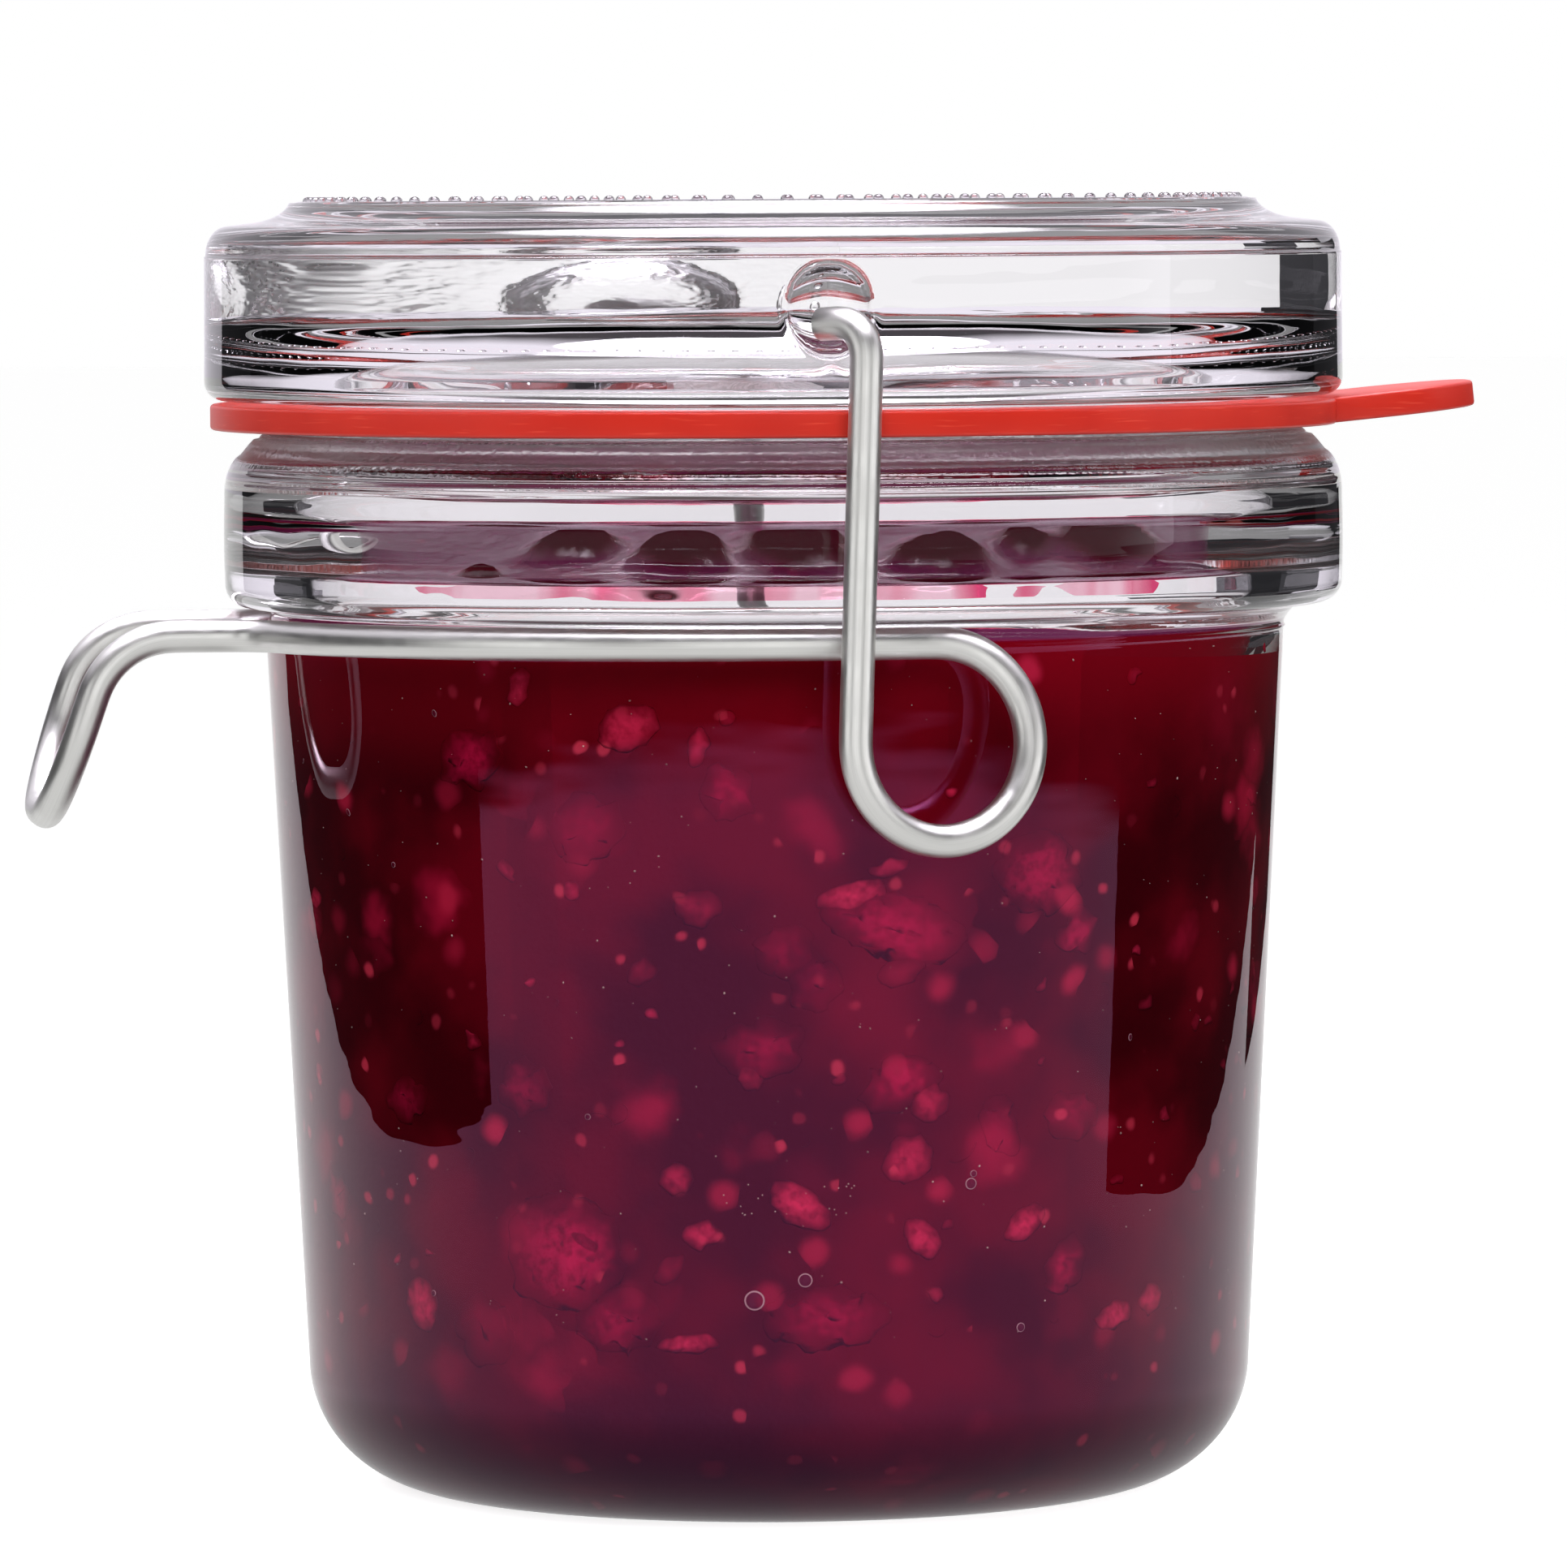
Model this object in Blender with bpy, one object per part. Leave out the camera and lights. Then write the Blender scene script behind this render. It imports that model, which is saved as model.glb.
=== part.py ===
"""Clip top jar of jam, closed: a glass jar with a thick collar, a glass lid on a rubber
gasket with a pull tab, and a single bent wire that clips the lid down.

Metres, +Z up. The origin is the middle of the jar's base, on the surface that it stands on.
The wire's ends sit in the lid's dimples on -Y and +Y, its handle points to -X and the
gasket's pull tab to +X. Lengths below are in millimetres and become metres in to_metres().
"""

import math

import bmesh
import bpy
from mathutils import Matrix, Vector

SEGMENTS = 64  # facets round every turned piece
GAP = 0.3  # clearance between pieces that touch

# Jar: body, collar and rim
BASE_RADIUS = 27.6  # flat that it stands on
HEEL_RADIUS = 38.95
HEEL_HEIGHT = 10.6
NECK_RADIUS = 42.15  # widest part of the body, just under the collar
COLLAR_RADIUS = 46.15
COLLAR_BOTTOM = 73.0
RIM_HEIGHT = 87.3
RIM_RADIUS = 43.3
COLLAR_OFFSET = 0.75  # the blown jar's collar and mouth sit this far off its body, towards +X
OFFSET_FROM = 71.2  # height where the offset starts, to be whole at the collar's underside
WALL = 3.1
FLOOR = 5.6  # thickness of the base
FLOOR_CORNER = 8.0  # inside radius between floor and wall
THROAT_RADIUS = 38.8  # inside the lower half of the collar
CONE_BOTTOM = 76.1  # from here the inside widens to the mouth
CONE_TOP = 80.7
BORE_RADIUS = 40.5  # mouth
FLARE_BOTTOM = 82.2  # from here the mouth widens a little to the rim
FLARE = 0.75
SHOULDER_BOTTOM = 82.3  # where the collar's side starts to curve inwards

# Gasket
GASKET_INNER = 39.0
GASKET_OUTER = 46.5
GASKET_THICKNESS = 2.1
GASKET_BOTTOM = RIM_HEIGHT + GAP
TAB_HINGE = 44.6
TAB_REACH = 58.4  # how far the tab's tip is from the axis
TAB_WIDTH = 18.5
TAB_CORNER = 8.5
TAB_LIFT = math.radians(5.6)

# Lid
LID_BOTTOM = GASKET_BOTTOM + GASKET_THICKNESS + GAP
LID_TOP = 106.7
LID_RADIUS = 46.98
PLATEAU_RADIUS = 39.4
BOSS_RADIUS = GASKET_INNER - GAP  # ring under the lid that centres the gasket
BOSS_DEPTH = 1.7
HOLLOW_RADIUS = 37.0  # round hollow under the lid, with a large corner and a shallow dome
HOLLOW_CORNER = 5.6
HOLLOW_WALL_TOP = 90.8
DOME_TOP = 97.4
DIMPLE_HEIGHT = 97.7
DIMPLE_RADIUS = 3.35
DIMPLE_DEPTH = 3.6

# Wire clip, as the centre line of its -Y half
WIRE_RADIUS = 1.325
TIP = Vector((-0.5, -45.3, 96.5))
SHANK_TOP = Vector((2.8, -48.6, 96.8))
LOOP_CENTRE_X = 8.8
LOOP_CENTRE_Z = 63.6
LOOP_HALF_WIDTH = 7.15
LOOP_HALF_HEIGHT = 7.75
NECK_WIRE_RADIUS = 43.95  # the wire follows the neck under the collar
NECK_WIRE_END = math.radians(203)  # where it leaves the neck
ARM_HEIGHT = 71.1
ARM_SPREAD = 11.0  # each arm's distance from the handle's middle
HANDLE_REACH = 55.6
HANDLE_SKEW = 0.5  # the far arm is longer and the near arm shorter by this
HANDLE_DROP = 14.7
HANDLE_SLOPE = math.radians(18.5)  # from the vertical
TIP_BEND = 2.5
EXIT_BEND = 4.5
ARM_BEND = 6.8
HANDLE_BEND = 9.0

# Jam
JAM_LEVEL = 72.0
JAM_WAVE = 0.35


def to_metres(points):
    return [Vector(point) * 0.001 for point in points]


def clear_scene():
    for obj in list(bpy.data.objects):
        bpy.data.objects.remove(obj, do_unlink=True)


def material(name, colour, roughness, metallic=0.0, transmission=0.0):
    made = bpy.data.materials.new(name)
    made.use_nodes = True
    shader = made.node_tree.nodes["Principled BSDF"]
    shader.inputs["Base Color"].default_value = (*colour, 1)
    shader.inputs["Roughness"].default_value = roughness
    shader.inputs["Metallic"].default_value = metallic
    shader.inputs["Transmission Weight"].default_value = transmission
    return made


def add_object(name, data, finish):
    obj = bpy.data.objects.new(name, data)
    bpy.context.scene.collection.objects.link(obj)
    data.materials.append(finish)
    return obj


def arc(centre, radii, start, end, count):
    """Points (radius, height) on an arc of an ellipse, angles in degrees from the outward direction."""
    points = []
    for i in range(count + 1):
        angle = math.radians(start + (end - start) * i / count)
        points.append((centre[0] + radii[0] * math.cos(angle), centre[1] + radii[1] * math.sin(angle)))
    return points


def smooth(share):
    return share * share * (3 - 2 * share)


def turned(name, profile, finish, closed=False):
    """A profile of (radius, height) points turned about Z, running down its outer side."""
    points = to_metres([(radius, 0, height) for radius, height in profile])
    edges = [(i, i + 1) for i in range(len(points) - 1)]
    if closed:
        edges.append((len(points) - 1, 0))
    mesh = bpy.data.meshes.new(name)
    mesh.from_pydata(points, edges, [])
    obj = add_object(name, mesh, finish)
    screw = obj.modifiers.new("Turn", "SCREW")
    screw.axis = "Z"
    screw.steps = SEGMENTS
    screw.render_steps = SEGMENTS
    screw.use_merge_vertices = True
    screw.merge_threshold = 0.00001
    screw.use_smooth_shade = True
    return obj


def reshape(obj, move):
    """Applies the object's modifiers, then moves each of its points, in millimetres."""
    graph = bpy.context.evaluated_depsgraph_get()
    shaped = bpy.data.meshes.new_from_object(obj.evaluated_get(graph))
    shaped.name = obj.name
    for vertex in shaped.vertices:
        vertex.co = move(vertex.co * 1000) * 0.001
    obj.modifiers.clear()
    obj.data = shaped


def beside_body(point):
    """A point of the jar, moved sideways where it belongs to the collar or the mouth."""
    share = (point.z - OFFSET_FROM) / (COLLAR_BOTTOM - OFFSET_FROM)
    return point + Vector((COLLAR_OFFSET * smooth(min(max(share, 0), 1)), 0, 0))


def outer_wall(height):
    """Radius of the body at a height above its heel: it widens as far as the collar."""
    share = (height - HEEL_HEIGHT) / (COLLAR_BOTTOM - HEEL_HEIGHT)
    return HEEL_RADIUS + (NECK_RADIUS - HEEL_RADIUS) * share


def inner_wall(height):
    """Inside radius of the body at a height above the floor's corner."""
    return outer_wall(height) - WALL


def cavity(shrink, top):
    """The jar's inside, from the axis out over the floor and up to a height, made smaller all round."""
    corner_height = FLOOR + FLOOR_CORNER
    wall = inner_wall(corner_height) - shrink
    centre = (wall - (FLOOR_CORNER - shrink), corner_height)
    radii = (FLOOR_CORNER - shrink, FLOOR_CORNER - shrink)
    points = [(0, FLOOR + shrink)]
    points += arc(centre, radii, -90, 0, 6)
    points.append((inner_wall(top) - shrink, top))
    return points


def make_jar(glass):
    inside = cavity(0, OFFSET_FROM) + [(inner_wall(COLLAR_BOTTOM), COLLAR_BOTTOM)]
    throat = [(THROAT_RADIUS, COLLAR_BOTTOM + 1.2), (THROAT_RADIUS, CONE_BOTTOM), (BORE_RADIUS, CONE_TOP)]
    mouth = [(BORE_RADIUS, FLARE_BOTTOM), (BORE_RADIUS + FLARE, RIM_HEIGHT - 0.6)]
    mouth.append((BORE_RADIUS + FLARE + 0.5, RIM_HEIGHT))
    rim = arc((RIM_RADIUS - 0.6, RIM_HEIGHT - 0.6), (0.6, 0.6), 90, 20, 2)
    slope = [(44.1, 86.4)]
    shoulder = arc((COLLAR_RADIUS - 2.0, SHOULDER_BOTTOM), (2.0, 3.4), 72, 0, 5)
    underside = arc((COLLAR_RADIUS - 1.9, COLLAR_BOTTOM + 1.9), (1.9, 1.9), 0, -90, 4)
    neck = arc((NECK_RADIUS + 1.0, COLLAR_BOTTOM - 1.0), (1.0, 1.0), 90, 180, 2)
    neck.append((outer_wall(OFFSET_FROM), OFFSET_FROM))
    heel_width = HEEL_RADIUS - BASE_RADIUS
    heel = arc((BASE_RADIUS, HEEL_HEIGHT), (heel_width, HEEL_HEIGHT), 0, -90, 8)
    profile = inside + throat + mouth + rim + slope + shoulder + underside + neck + heel + [(0, 0)]
    jar = turned("jar", profile, glass)
    reshape(jar, beside_body)
    return jar


def make_lid(glass):
    corner_top = HOLLOW_WALL_TOP + HOLLOW_CORNER
    corner_centre = (HOLLOW_RADIUS - HOLLOW_CORNER, HOLLOW_WALL_TOP)
    dome = arc((0, corner_top), (corner_centre[0], DOME_TOP - corner_top), 90, 20, 3)
    dome += arc(corner_centre, (HOLLOW_CORNER, HOLLOW_CORNER), 80, 0, 4)
    boss = [
        (HOLLOW_RADIUS, LID_BOTTOM - BOSS_DEPTH + 0.4),
        (HOLLOW_RADIUS + 0.4, LID_BOTTOM - BOSS_DEPTH),
        (BOSS_RADIUS - 0.3, LID_BOTTOM - BOSS_DEPTH),
        (BOSS_RADIUS, LID_BOTTOM),
    ]
    foot = arc((LID_RADIUS - 1.5, LID_BOTTOM + 1.5), (1.5, 1.5), -90, 0, 3)
    side = [(LID_RADIUS - 0.15, 100.4)]
    shoulder = arc((LID_RADIUS - 2.4, 101.9), (2.2, 2.4), 0, 90, 4)
    cove = [(43.2, 104.55), (42.0, 104.8), (41.2, 105.3)]
    plateau = [(PLATEAU_RADIUS + 0.5, LID_TOP - 0.4), (PLATEAU_RADIUS, LID_TOP), (0, LID_TOP)]
    upward = dome + boss + foot + side + shoulder + cove + plateau
    lid = turned("lid", upward[::-1], glass)
    for side_of_lid in (-1, 1):
        cut_dimple(lid, side_of_lid)
    return lid


def cut_dimple(lid, side_of_lid):
    """The round hollow on one side of the lid, -1 or 1 along Y, that takes the wire's end."""
    mouth = 2.0  # how far the cutter stands out of the lid
    bowl = arc((0, -DIMPLE_DEPTH + 2.6), (DIMPLE_RADIUS - 0.3, 2.6), 0, -90, 5)
    profile = [(0, mouth), (DIMPLE_RADIUS + 0.9, mouth), (DIMPLE_RADIUS + 0.25, 0), *bowl]
    cutter = turned("dimple_cutter", profile, lid.data.materials[0])
    cutter.modifiers["Turn"].steps = cutter.modifiers["Turn"].render_steps = 20
    cutter.hide_render = True
    cutter.display_type = "WIRE"
    cutter.location = to_metres([(0, side_of_lid * LID_RADIUS, DIMPLE_HEIGHT)])[0]
    cutter.rotation_euler = (-side_of_lid * math.pi / 2, 0, 0)
    cut = lid.modifiers.new("Dimple", "BOOLEAN")
    cut.operation = "DIFFERENCE"
    cut.object = cutter


def make_gasket(rubber):
    low, high = GASKET_BOTTOM, GASKET_BOTTOM + GASKET_THICKNESS
    edge = 0.25
    profile = [
        (GASKET_INNER, high),
        (GASKET_OUTER - edge, high),
        (GASKET_OUTER, high - edge),
        (GASKET_OUTER, low + edge),
        (GASKET_OUTER - edge, low),
        (GASKET_INNER, low),
    ]
    ring = turned("gasket", profile, rubber, closed=True)
    tab = make_tab(rubber)
    join = ring.modifiers.new("Tab", "BOOLEAN")
    join.operation = "UNION"
    join.object = tab
    return ring


def make_tab(rubber):
    """The pull tab: a tongue with rounded corners, tilted up from the gasket's edge."""
    reach = TAB_REACH - TAB_HINGE
    half = TAB_WIDTH / 2
    outline = [(0, -half)]
    outline += arc((reach - TAB_CORNER, -half + TAB_CORNER), (TAB_CORNER, TAB_CORNER), -90, 0, 5)
    outline += arc((reach - TAB_CORNER, half - TAB_CORNER), (TAB_CORNER, TAB_CORNER), 0, 90, 5)
    outline.append((0, half))
    mesh = bmesh.new()
    corners = [mesh.verts.new(point) for point in to_metres([(x, y, 0) for x, y in outline])]
    face = mesh.faces.new(corners)
    lifted = bmesh.ops.extrude_face_region(mesh, geom=[face])["geom"]
    raised = [item for item in lifted if isinstance(item, bmesh.types.BMVert)]
    bmesh.ops.translate(mesh, verts=raised, vec=Vector((0, 0, GASKET_THICKNESS * 0.001)))
    bmesh.ops.recalc_face_normals(mesh, faces=mesh.faces)
    data = bpy.data.meshes.new("tab_guide")
    mesh.to_mesh(data)
    mesh.free()
    tab = add_object("tab_guide", data, rubber)
    tab.location = to_metres([(TAB_HINGE, 0, GASKET_BOTTOM)])[0]
    tab.rotation_euler = (0, -TAB_LIFT, 0)
    tab.hide_render = True
    tab.display_type = "WIRE"
    return tab


def bend(before, corner, after, radius, count):
    """Points of a round bend of a radius at a corner between two straight runs."""
    back = (before - corner).normalized()
    ahead = (after - corner).normalized()
    half_turn = (math.pi - back.angle(ahead)) / 2
    centre = corner + (back + ahead).normalized() * (radius / math.cos(half_turn))
    start = corner + back * radius * math.tan(half_turn) - centre
    turn_axis = start.cross(corner + ahead * radius * math.tan(half_turn) - centre).normalized()
    steps = [Matrix.Rotation(2 * half_turn * i / count, 3, turn_axis) for i in range(count + 1)]
    return [centre + step @ start for step in steps]


def neck_point(angle):
    """The wire's centre line under the collar, level at the front and falling a little to the arm."""
    front = math.radians(280)
    share = min(max((front - angle) / (front - NECK_WIRE_END), 0), 1)
    height = LOOP_CENTRE_Z + LOOP_HALF_HEIGHT
    height += (ARM_HEIGHT - height) * share * share
    return Vector((NECK_WIRE_RADIUS * math.cos(angle), NECK_WIRE_RADIUS * math.sin(angle), height))


def half_clip(skew):
    """The centre line from the wire's end in its dimple to the middle of the handle, on -Y."""
    shank_foot = Vector((LOOP_CENTRE_X - LOOP_HALF_WIDTH, SHANK_TOP.y, LOOP_CENTRE_Z))
    points = [TIP]
    points += bend(TIP, SHANK_TOP, shank_foot, TIP_BEND, 5)
    points += [SHANK_TOP.lerp(shank_foot, share) for share in (0.3, 0.5, 0.7, 0.9)]

    # The spring loop: three quarters of a turn that also moves in from the shank to the neck.
    loop_end = -math.sqrt(NECK_WIRE_RADIUS**2 - LOOP_CENTRE_X**2)
    turns = 15
    for i in range(turns + 1):
        angle = math.radians(180 + 270 * i / turns)
        depth = SHANK_TOP.y + (loop_end - SHANK_TOP.y) * smooth(i / turns)
        across = LOOP_CENTRE_X + LOOP_HALF_WIDTH * math.cos(angle)
        points.append(Vector((across, depth, LOOP_CENTRE_Z + LOOP_HALF_HEIGHT * math.sin(angle))))

    # Round the neck, then off it along the arm and down the handle.
    start = 2 * math.pi - math.acos(LOOP_CENTRE_X / NECK_WIRE_RADIUS)
    around = 16
    for i in range(1, around + 1):
        points.append(neck_point(start + (NECK_WIRE_END - start) * i / around))
    leaving = points[-1]
    heading = Vector((math.sin(NECK_WIRE_END), -math.cos(NECK_WIRE_END), 0))
    leave_corner = leaving + heading * ((-ARM_SPREAD - leaving.y) / heading.y)
    reach = HANDLE_REACH + skew
    arm_corner = Vector((-reach, -ARM_SPREAD, ARM_HEIGHT))
    foot_x = -reach - HANDLE_DROP * math.tan(HANDLE_SLOPE)
    handle_corner = Vector((foot_x, -ARM_SPREAD, ARM_HEIGHT - HANDLE_DROP))
    middle_x = foot_x + skew
    handle_middle = Vector((middle_x, 0, ARM_HEIGHT - HANDLE_DROP))
    points += bend(leaving, leave_corner, arm_corner, EXIT_BEND, 5)
    points += bend(leave_corner, arm_corner, handle_corner, ARM_BEND, 6)
    points += bend(arm_corner, handle_corner, handle_middle, HANDLE_BEND, 8)
    return points


def make_wire_clip(steel):
    near = half_clip(-HANDLE_SKEW)
    far = [Vector((point.x, -point.y, point.z)) for point in half_clip(HANDLE_SKEW)]
    centre_line = near + far[::-1]
    curve = bpy.data.curves.new("wire_clip", "CURVE")
    curve.dimensions = "3D"
    curve.bevel_depth = WIRE_RADIUS * 0.001
    curve.bevel_resolution = 2
    curve.use_fill_caps = True
    spline = curve.splines.new("POLY")
    spline.points.add(len(centre_line) - 1)
    for control, point in zip(spline.points, to_metres(centre_line)):
        control.co = (*point, 1)
    return add_object("wire_clip", curve, steel)


def jam_top(x, y):
    """Height of the jam's uneven top, higher where it clings to the wall."""
    wave = math.sin(0.11 * x + 0.6) * math.cos(0.13 * y - 0.4) + 0.5 * math.sin(0.21 * (x + y))
    cling = smooth(min(math.hypot(x, y) / inner_wall(JAM_LEVEL), 1)) ** 12
    return JAM_LEVEL + JAM_WAVE * wave * (1 - cling) + 0.7 * cling


def make_jam(gel):
    """The jam's body: turned from the jar's inside, then its top is raised and sunk by jam_top."""
    below = cavity(GAP, OFFSET_FROM)
    wall = below[-1][0]
    surface = [(wall * share, JAM_LEVEL) for share in (1, 0.85, 0.65, 0.45, 0.22, 0)]
    jam = turned("jam", (below + surface)[::-1], gel)
    reshape(jam, settle)
    return jam


def settle(point):
    """A point of the jam, on its uneven top if it is up there, and beside the body like the jar."""
    if point.z > JAM_LEVEL - 0.5:
        point.z = jam_top(point.x, point.y)
    return beside_body(point)


def build():
    clear_scene()
    glass = material("clear_glass", (0.96, 0.97, 0.97), 0.02, transmission=1.0)
    rubber = material("orange_red_rubber", (0.60, 0.02, 0.01), 0.45)
    steel = material("satin_steel_wire", (0.62, 0.62, 0.60), 0.25, metallic=1.0)
    gel = material("dark_fruit_jam", (0.10, 0.002, 0.012), 0.2)
    make_jar(glass)
    make_lid(glass)
    make_gasket(rubber)
    make_wire_clip(steel)
    make_jam(gel)


build()
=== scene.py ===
# %% [markdown]
# # A clip top jar of jam
# The jar is pressed glass, closed by a glass lid on a rubber gasket, with one bent wire that clips
# the lid down. The measured solids come from the frame, in metres. This script gives each of them
# its fine shape and its finish, and never moves or resizes one.

# %% Load the frame
import math
import random

import bmesh
import bpy
from mathutils import Matrix, Vector, noise


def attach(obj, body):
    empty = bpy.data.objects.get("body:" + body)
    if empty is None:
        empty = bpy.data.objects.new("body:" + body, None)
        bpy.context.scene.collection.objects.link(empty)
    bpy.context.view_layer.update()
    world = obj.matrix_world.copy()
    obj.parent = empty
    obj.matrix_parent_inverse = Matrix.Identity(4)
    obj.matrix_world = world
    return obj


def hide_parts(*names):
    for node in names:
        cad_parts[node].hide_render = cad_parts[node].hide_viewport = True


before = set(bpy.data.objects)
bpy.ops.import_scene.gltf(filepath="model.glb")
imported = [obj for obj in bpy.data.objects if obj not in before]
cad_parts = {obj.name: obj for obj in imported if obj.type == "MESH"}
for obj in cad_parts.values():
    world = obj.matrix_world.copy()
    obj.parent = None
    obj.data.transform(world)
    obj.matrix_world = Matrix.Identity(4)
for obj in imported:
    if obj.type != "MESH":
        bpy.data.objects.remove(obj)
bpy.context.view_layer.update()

print("nodes:", ", ".join(sorted(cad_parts)))

# %% [markdown]
# ## Units
# The real jar is drawn in millimetres, and Blender works in metres. Each piece is therefore worked
# out in millimetres and turned into metres in one place, where its mesh is made.

# %% Units and small helpers
MM = 0.001


def hex_to_linear(code):
    """An sRGB colour such as "c83223" as the linear colour that shaders use."""
    channels = [int(code[i : i + 2], 16) / 255 for i in (0, 2, 4)]
    return tuple(c / 12.92 if c <= 0.04045 else ((c + 0.055) / 1.055) ** 2.4 for c in channels) + (1,)


def smooth(share):
    """A share from 0 to 1, eased at both ends."""
    share = min(max(share, 0), 1)
    return share * share * (3 - 2 * share)


def arc(centre, radii, start, end, count):
    """Points (radius, height) on an arc of an ellipse, angles in degrees from the outward direction."""
    angles = [math.radians(start + (end - start) * i / count) for i in range(count + 1)]
    return [(centre[0] + radii[0] * math.cos(a), centre[1] + radii[1] * math.sin(a)) for a in angles]


def line(start, end, count):
    """Points from start to end, without the end, so that lines and arcs can follow each other."""
    (r0, z0), (r1, z1) = start, end
    return [(r0 + (r1 - r0) * i / count, z0 + (z1 - z0) * i / count) for i in range(count)]


def around_axis(radius, angle, height):
    """A point by its distance from the jar's axis, its direction and its height."""
    return Vector((radius * math.cos(angle), radius * math.sin(angle), height))


def ripple(point, size):
    """Smooth noise from -1 to 1 whose bumps are about size millimetres wide."""
    return noise.noise(Vector(point) / size)


def new_object(name, data):
    """Puts a mesh, a lamp or a camera into the scene, at the origin."""
    obj = bpy.data.objects.new(name, data)
    bpy.context.scene.collection.objects.link(obj)
    return obj


def add_node(tree, kind, inputs=None, **settings):
    """Adds a node, sets its properties, and sets or links its inputs, by name or by number. A node
    given as an input stands for its first output in use."""
    node = tree.nodes.new(kind)
    for name, value in settings.items():
        setattr(node, name, value)
    for key, value in (inputs or {}).items():
        if isinstance(value, bpy.types.Node):
            value = next(socket for socket in value.outputs if socket.enabled)
        if isinstance(value, bpy.types.NodeSocket):
            tree.links.new(value, node.inputs[key])
        else:
            node.inputs[key].default_value = value
    return node


def new_material(name):
    """A material with nothing in its node tree yet, and that tree."""
    made = bpy.data.materials.new(name)
    made.use_nodes = True
    made.node_tree.nodes.clear()
    return made, made.node_tree


# %% [markdown]
# ## The camera
# The lens is long and looks almost level, at the height of the lid's top and a little to the left of
# the wire's middle plane, which keeps the sides of the jar nearly parallel. A tiny roll remains from
# the way the camera stood.

# %% Camera
CAMERA_DISTANCE = 900 * MM
CAMERA_TURN = math.radians(5.47)
CAMERA_HEIGHT = 106.7 * MM
CAMERA_PITCH = math.radians(3.10)
CAMERA_YAW = math.radians(0.041)
CAMERA_ROLL = math.radians(0.33)
LENS_MM = 250
SENSOR_MM = 36

camera_data = bpy.data.cameras.new("camera")
camera_data.lens = LENS_MM
camera_data.sensor_width = SENSOR_MM
camera = new_object("camera", camera_data)
camera.location = (
    -CAMERA_DISTANCE * math.sin(CAMERA_TURN),
    -CAMERA_DISTANCE * math.cos(CAMERA_TURN),
    CAMERA_HEIGHT,
)
heading = Matrix.Rotation(-(CAMERA_TURN + CAMERA_YAW), 4, "Z")
tilt = Matrix.Rotation(math.pi / 2 - CAMERA_PITCH, 4, "X")
camera.rotation_euler = (heading @ tilt @ Matrix.Rotation(-CAMERA_ROLL, 4, "Z")).to_euler()
bpy.context.scene.camera = camera
bpy.context.scene.view_settings.view_transform = "Standard"
print("camera at", [round(c, 3) for c in camera.location], "lens", LENS_MM, "mm")

# %% [markdown]
# ## The studio
# Clear glass has no colour of its own, so the room draws it. The jar stands on a white table that
# ends about half a metre in front of it, with white light behind and above, a dark room in front,
# and a black card on each side, which gives the glass its dark edges. Cards and room are seen in
# reflections only, because a ray that only passes through glass should find white from every side.
# A few narrow flags are the exception. They are seen through the glass where its edges bend the
# view far sideways, and draw the dark lines there.

# %% Stage materials
TABLE_GREY = 0.8
TABLE_GLOW = 0.45
SHADE_EDGES = (30 * MM, 75 * MM)  # the jar's soft shade on the table, by distance from its axis
SHADE_LEVELS = (0.5, 0.95)
DARK_EDGES = (425 * MM, 480 * MM)  # where the table's front goes dark for a mirror
FRONT_LOSS = 0.97
INSIDE_LOSS = 0.7  # how much darker the table is to light mirrored inside the glass


def depth_mask(tree, path):
    """1 on rays that were mirrored or scattered before, 0 on rays that only passed through glass."""
    depths = {0: path.outputs["Glossy Depth"], 1: path.outputs["Diffuse Depth"]}
    bounced = add_node(tree, "ShaderNodeMath", depths, operation="ADD")
    return add_node(tree, "ShaderNodeMath", {0: bounced, 1: 1.0}, operation="MINIMUM")


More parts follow.
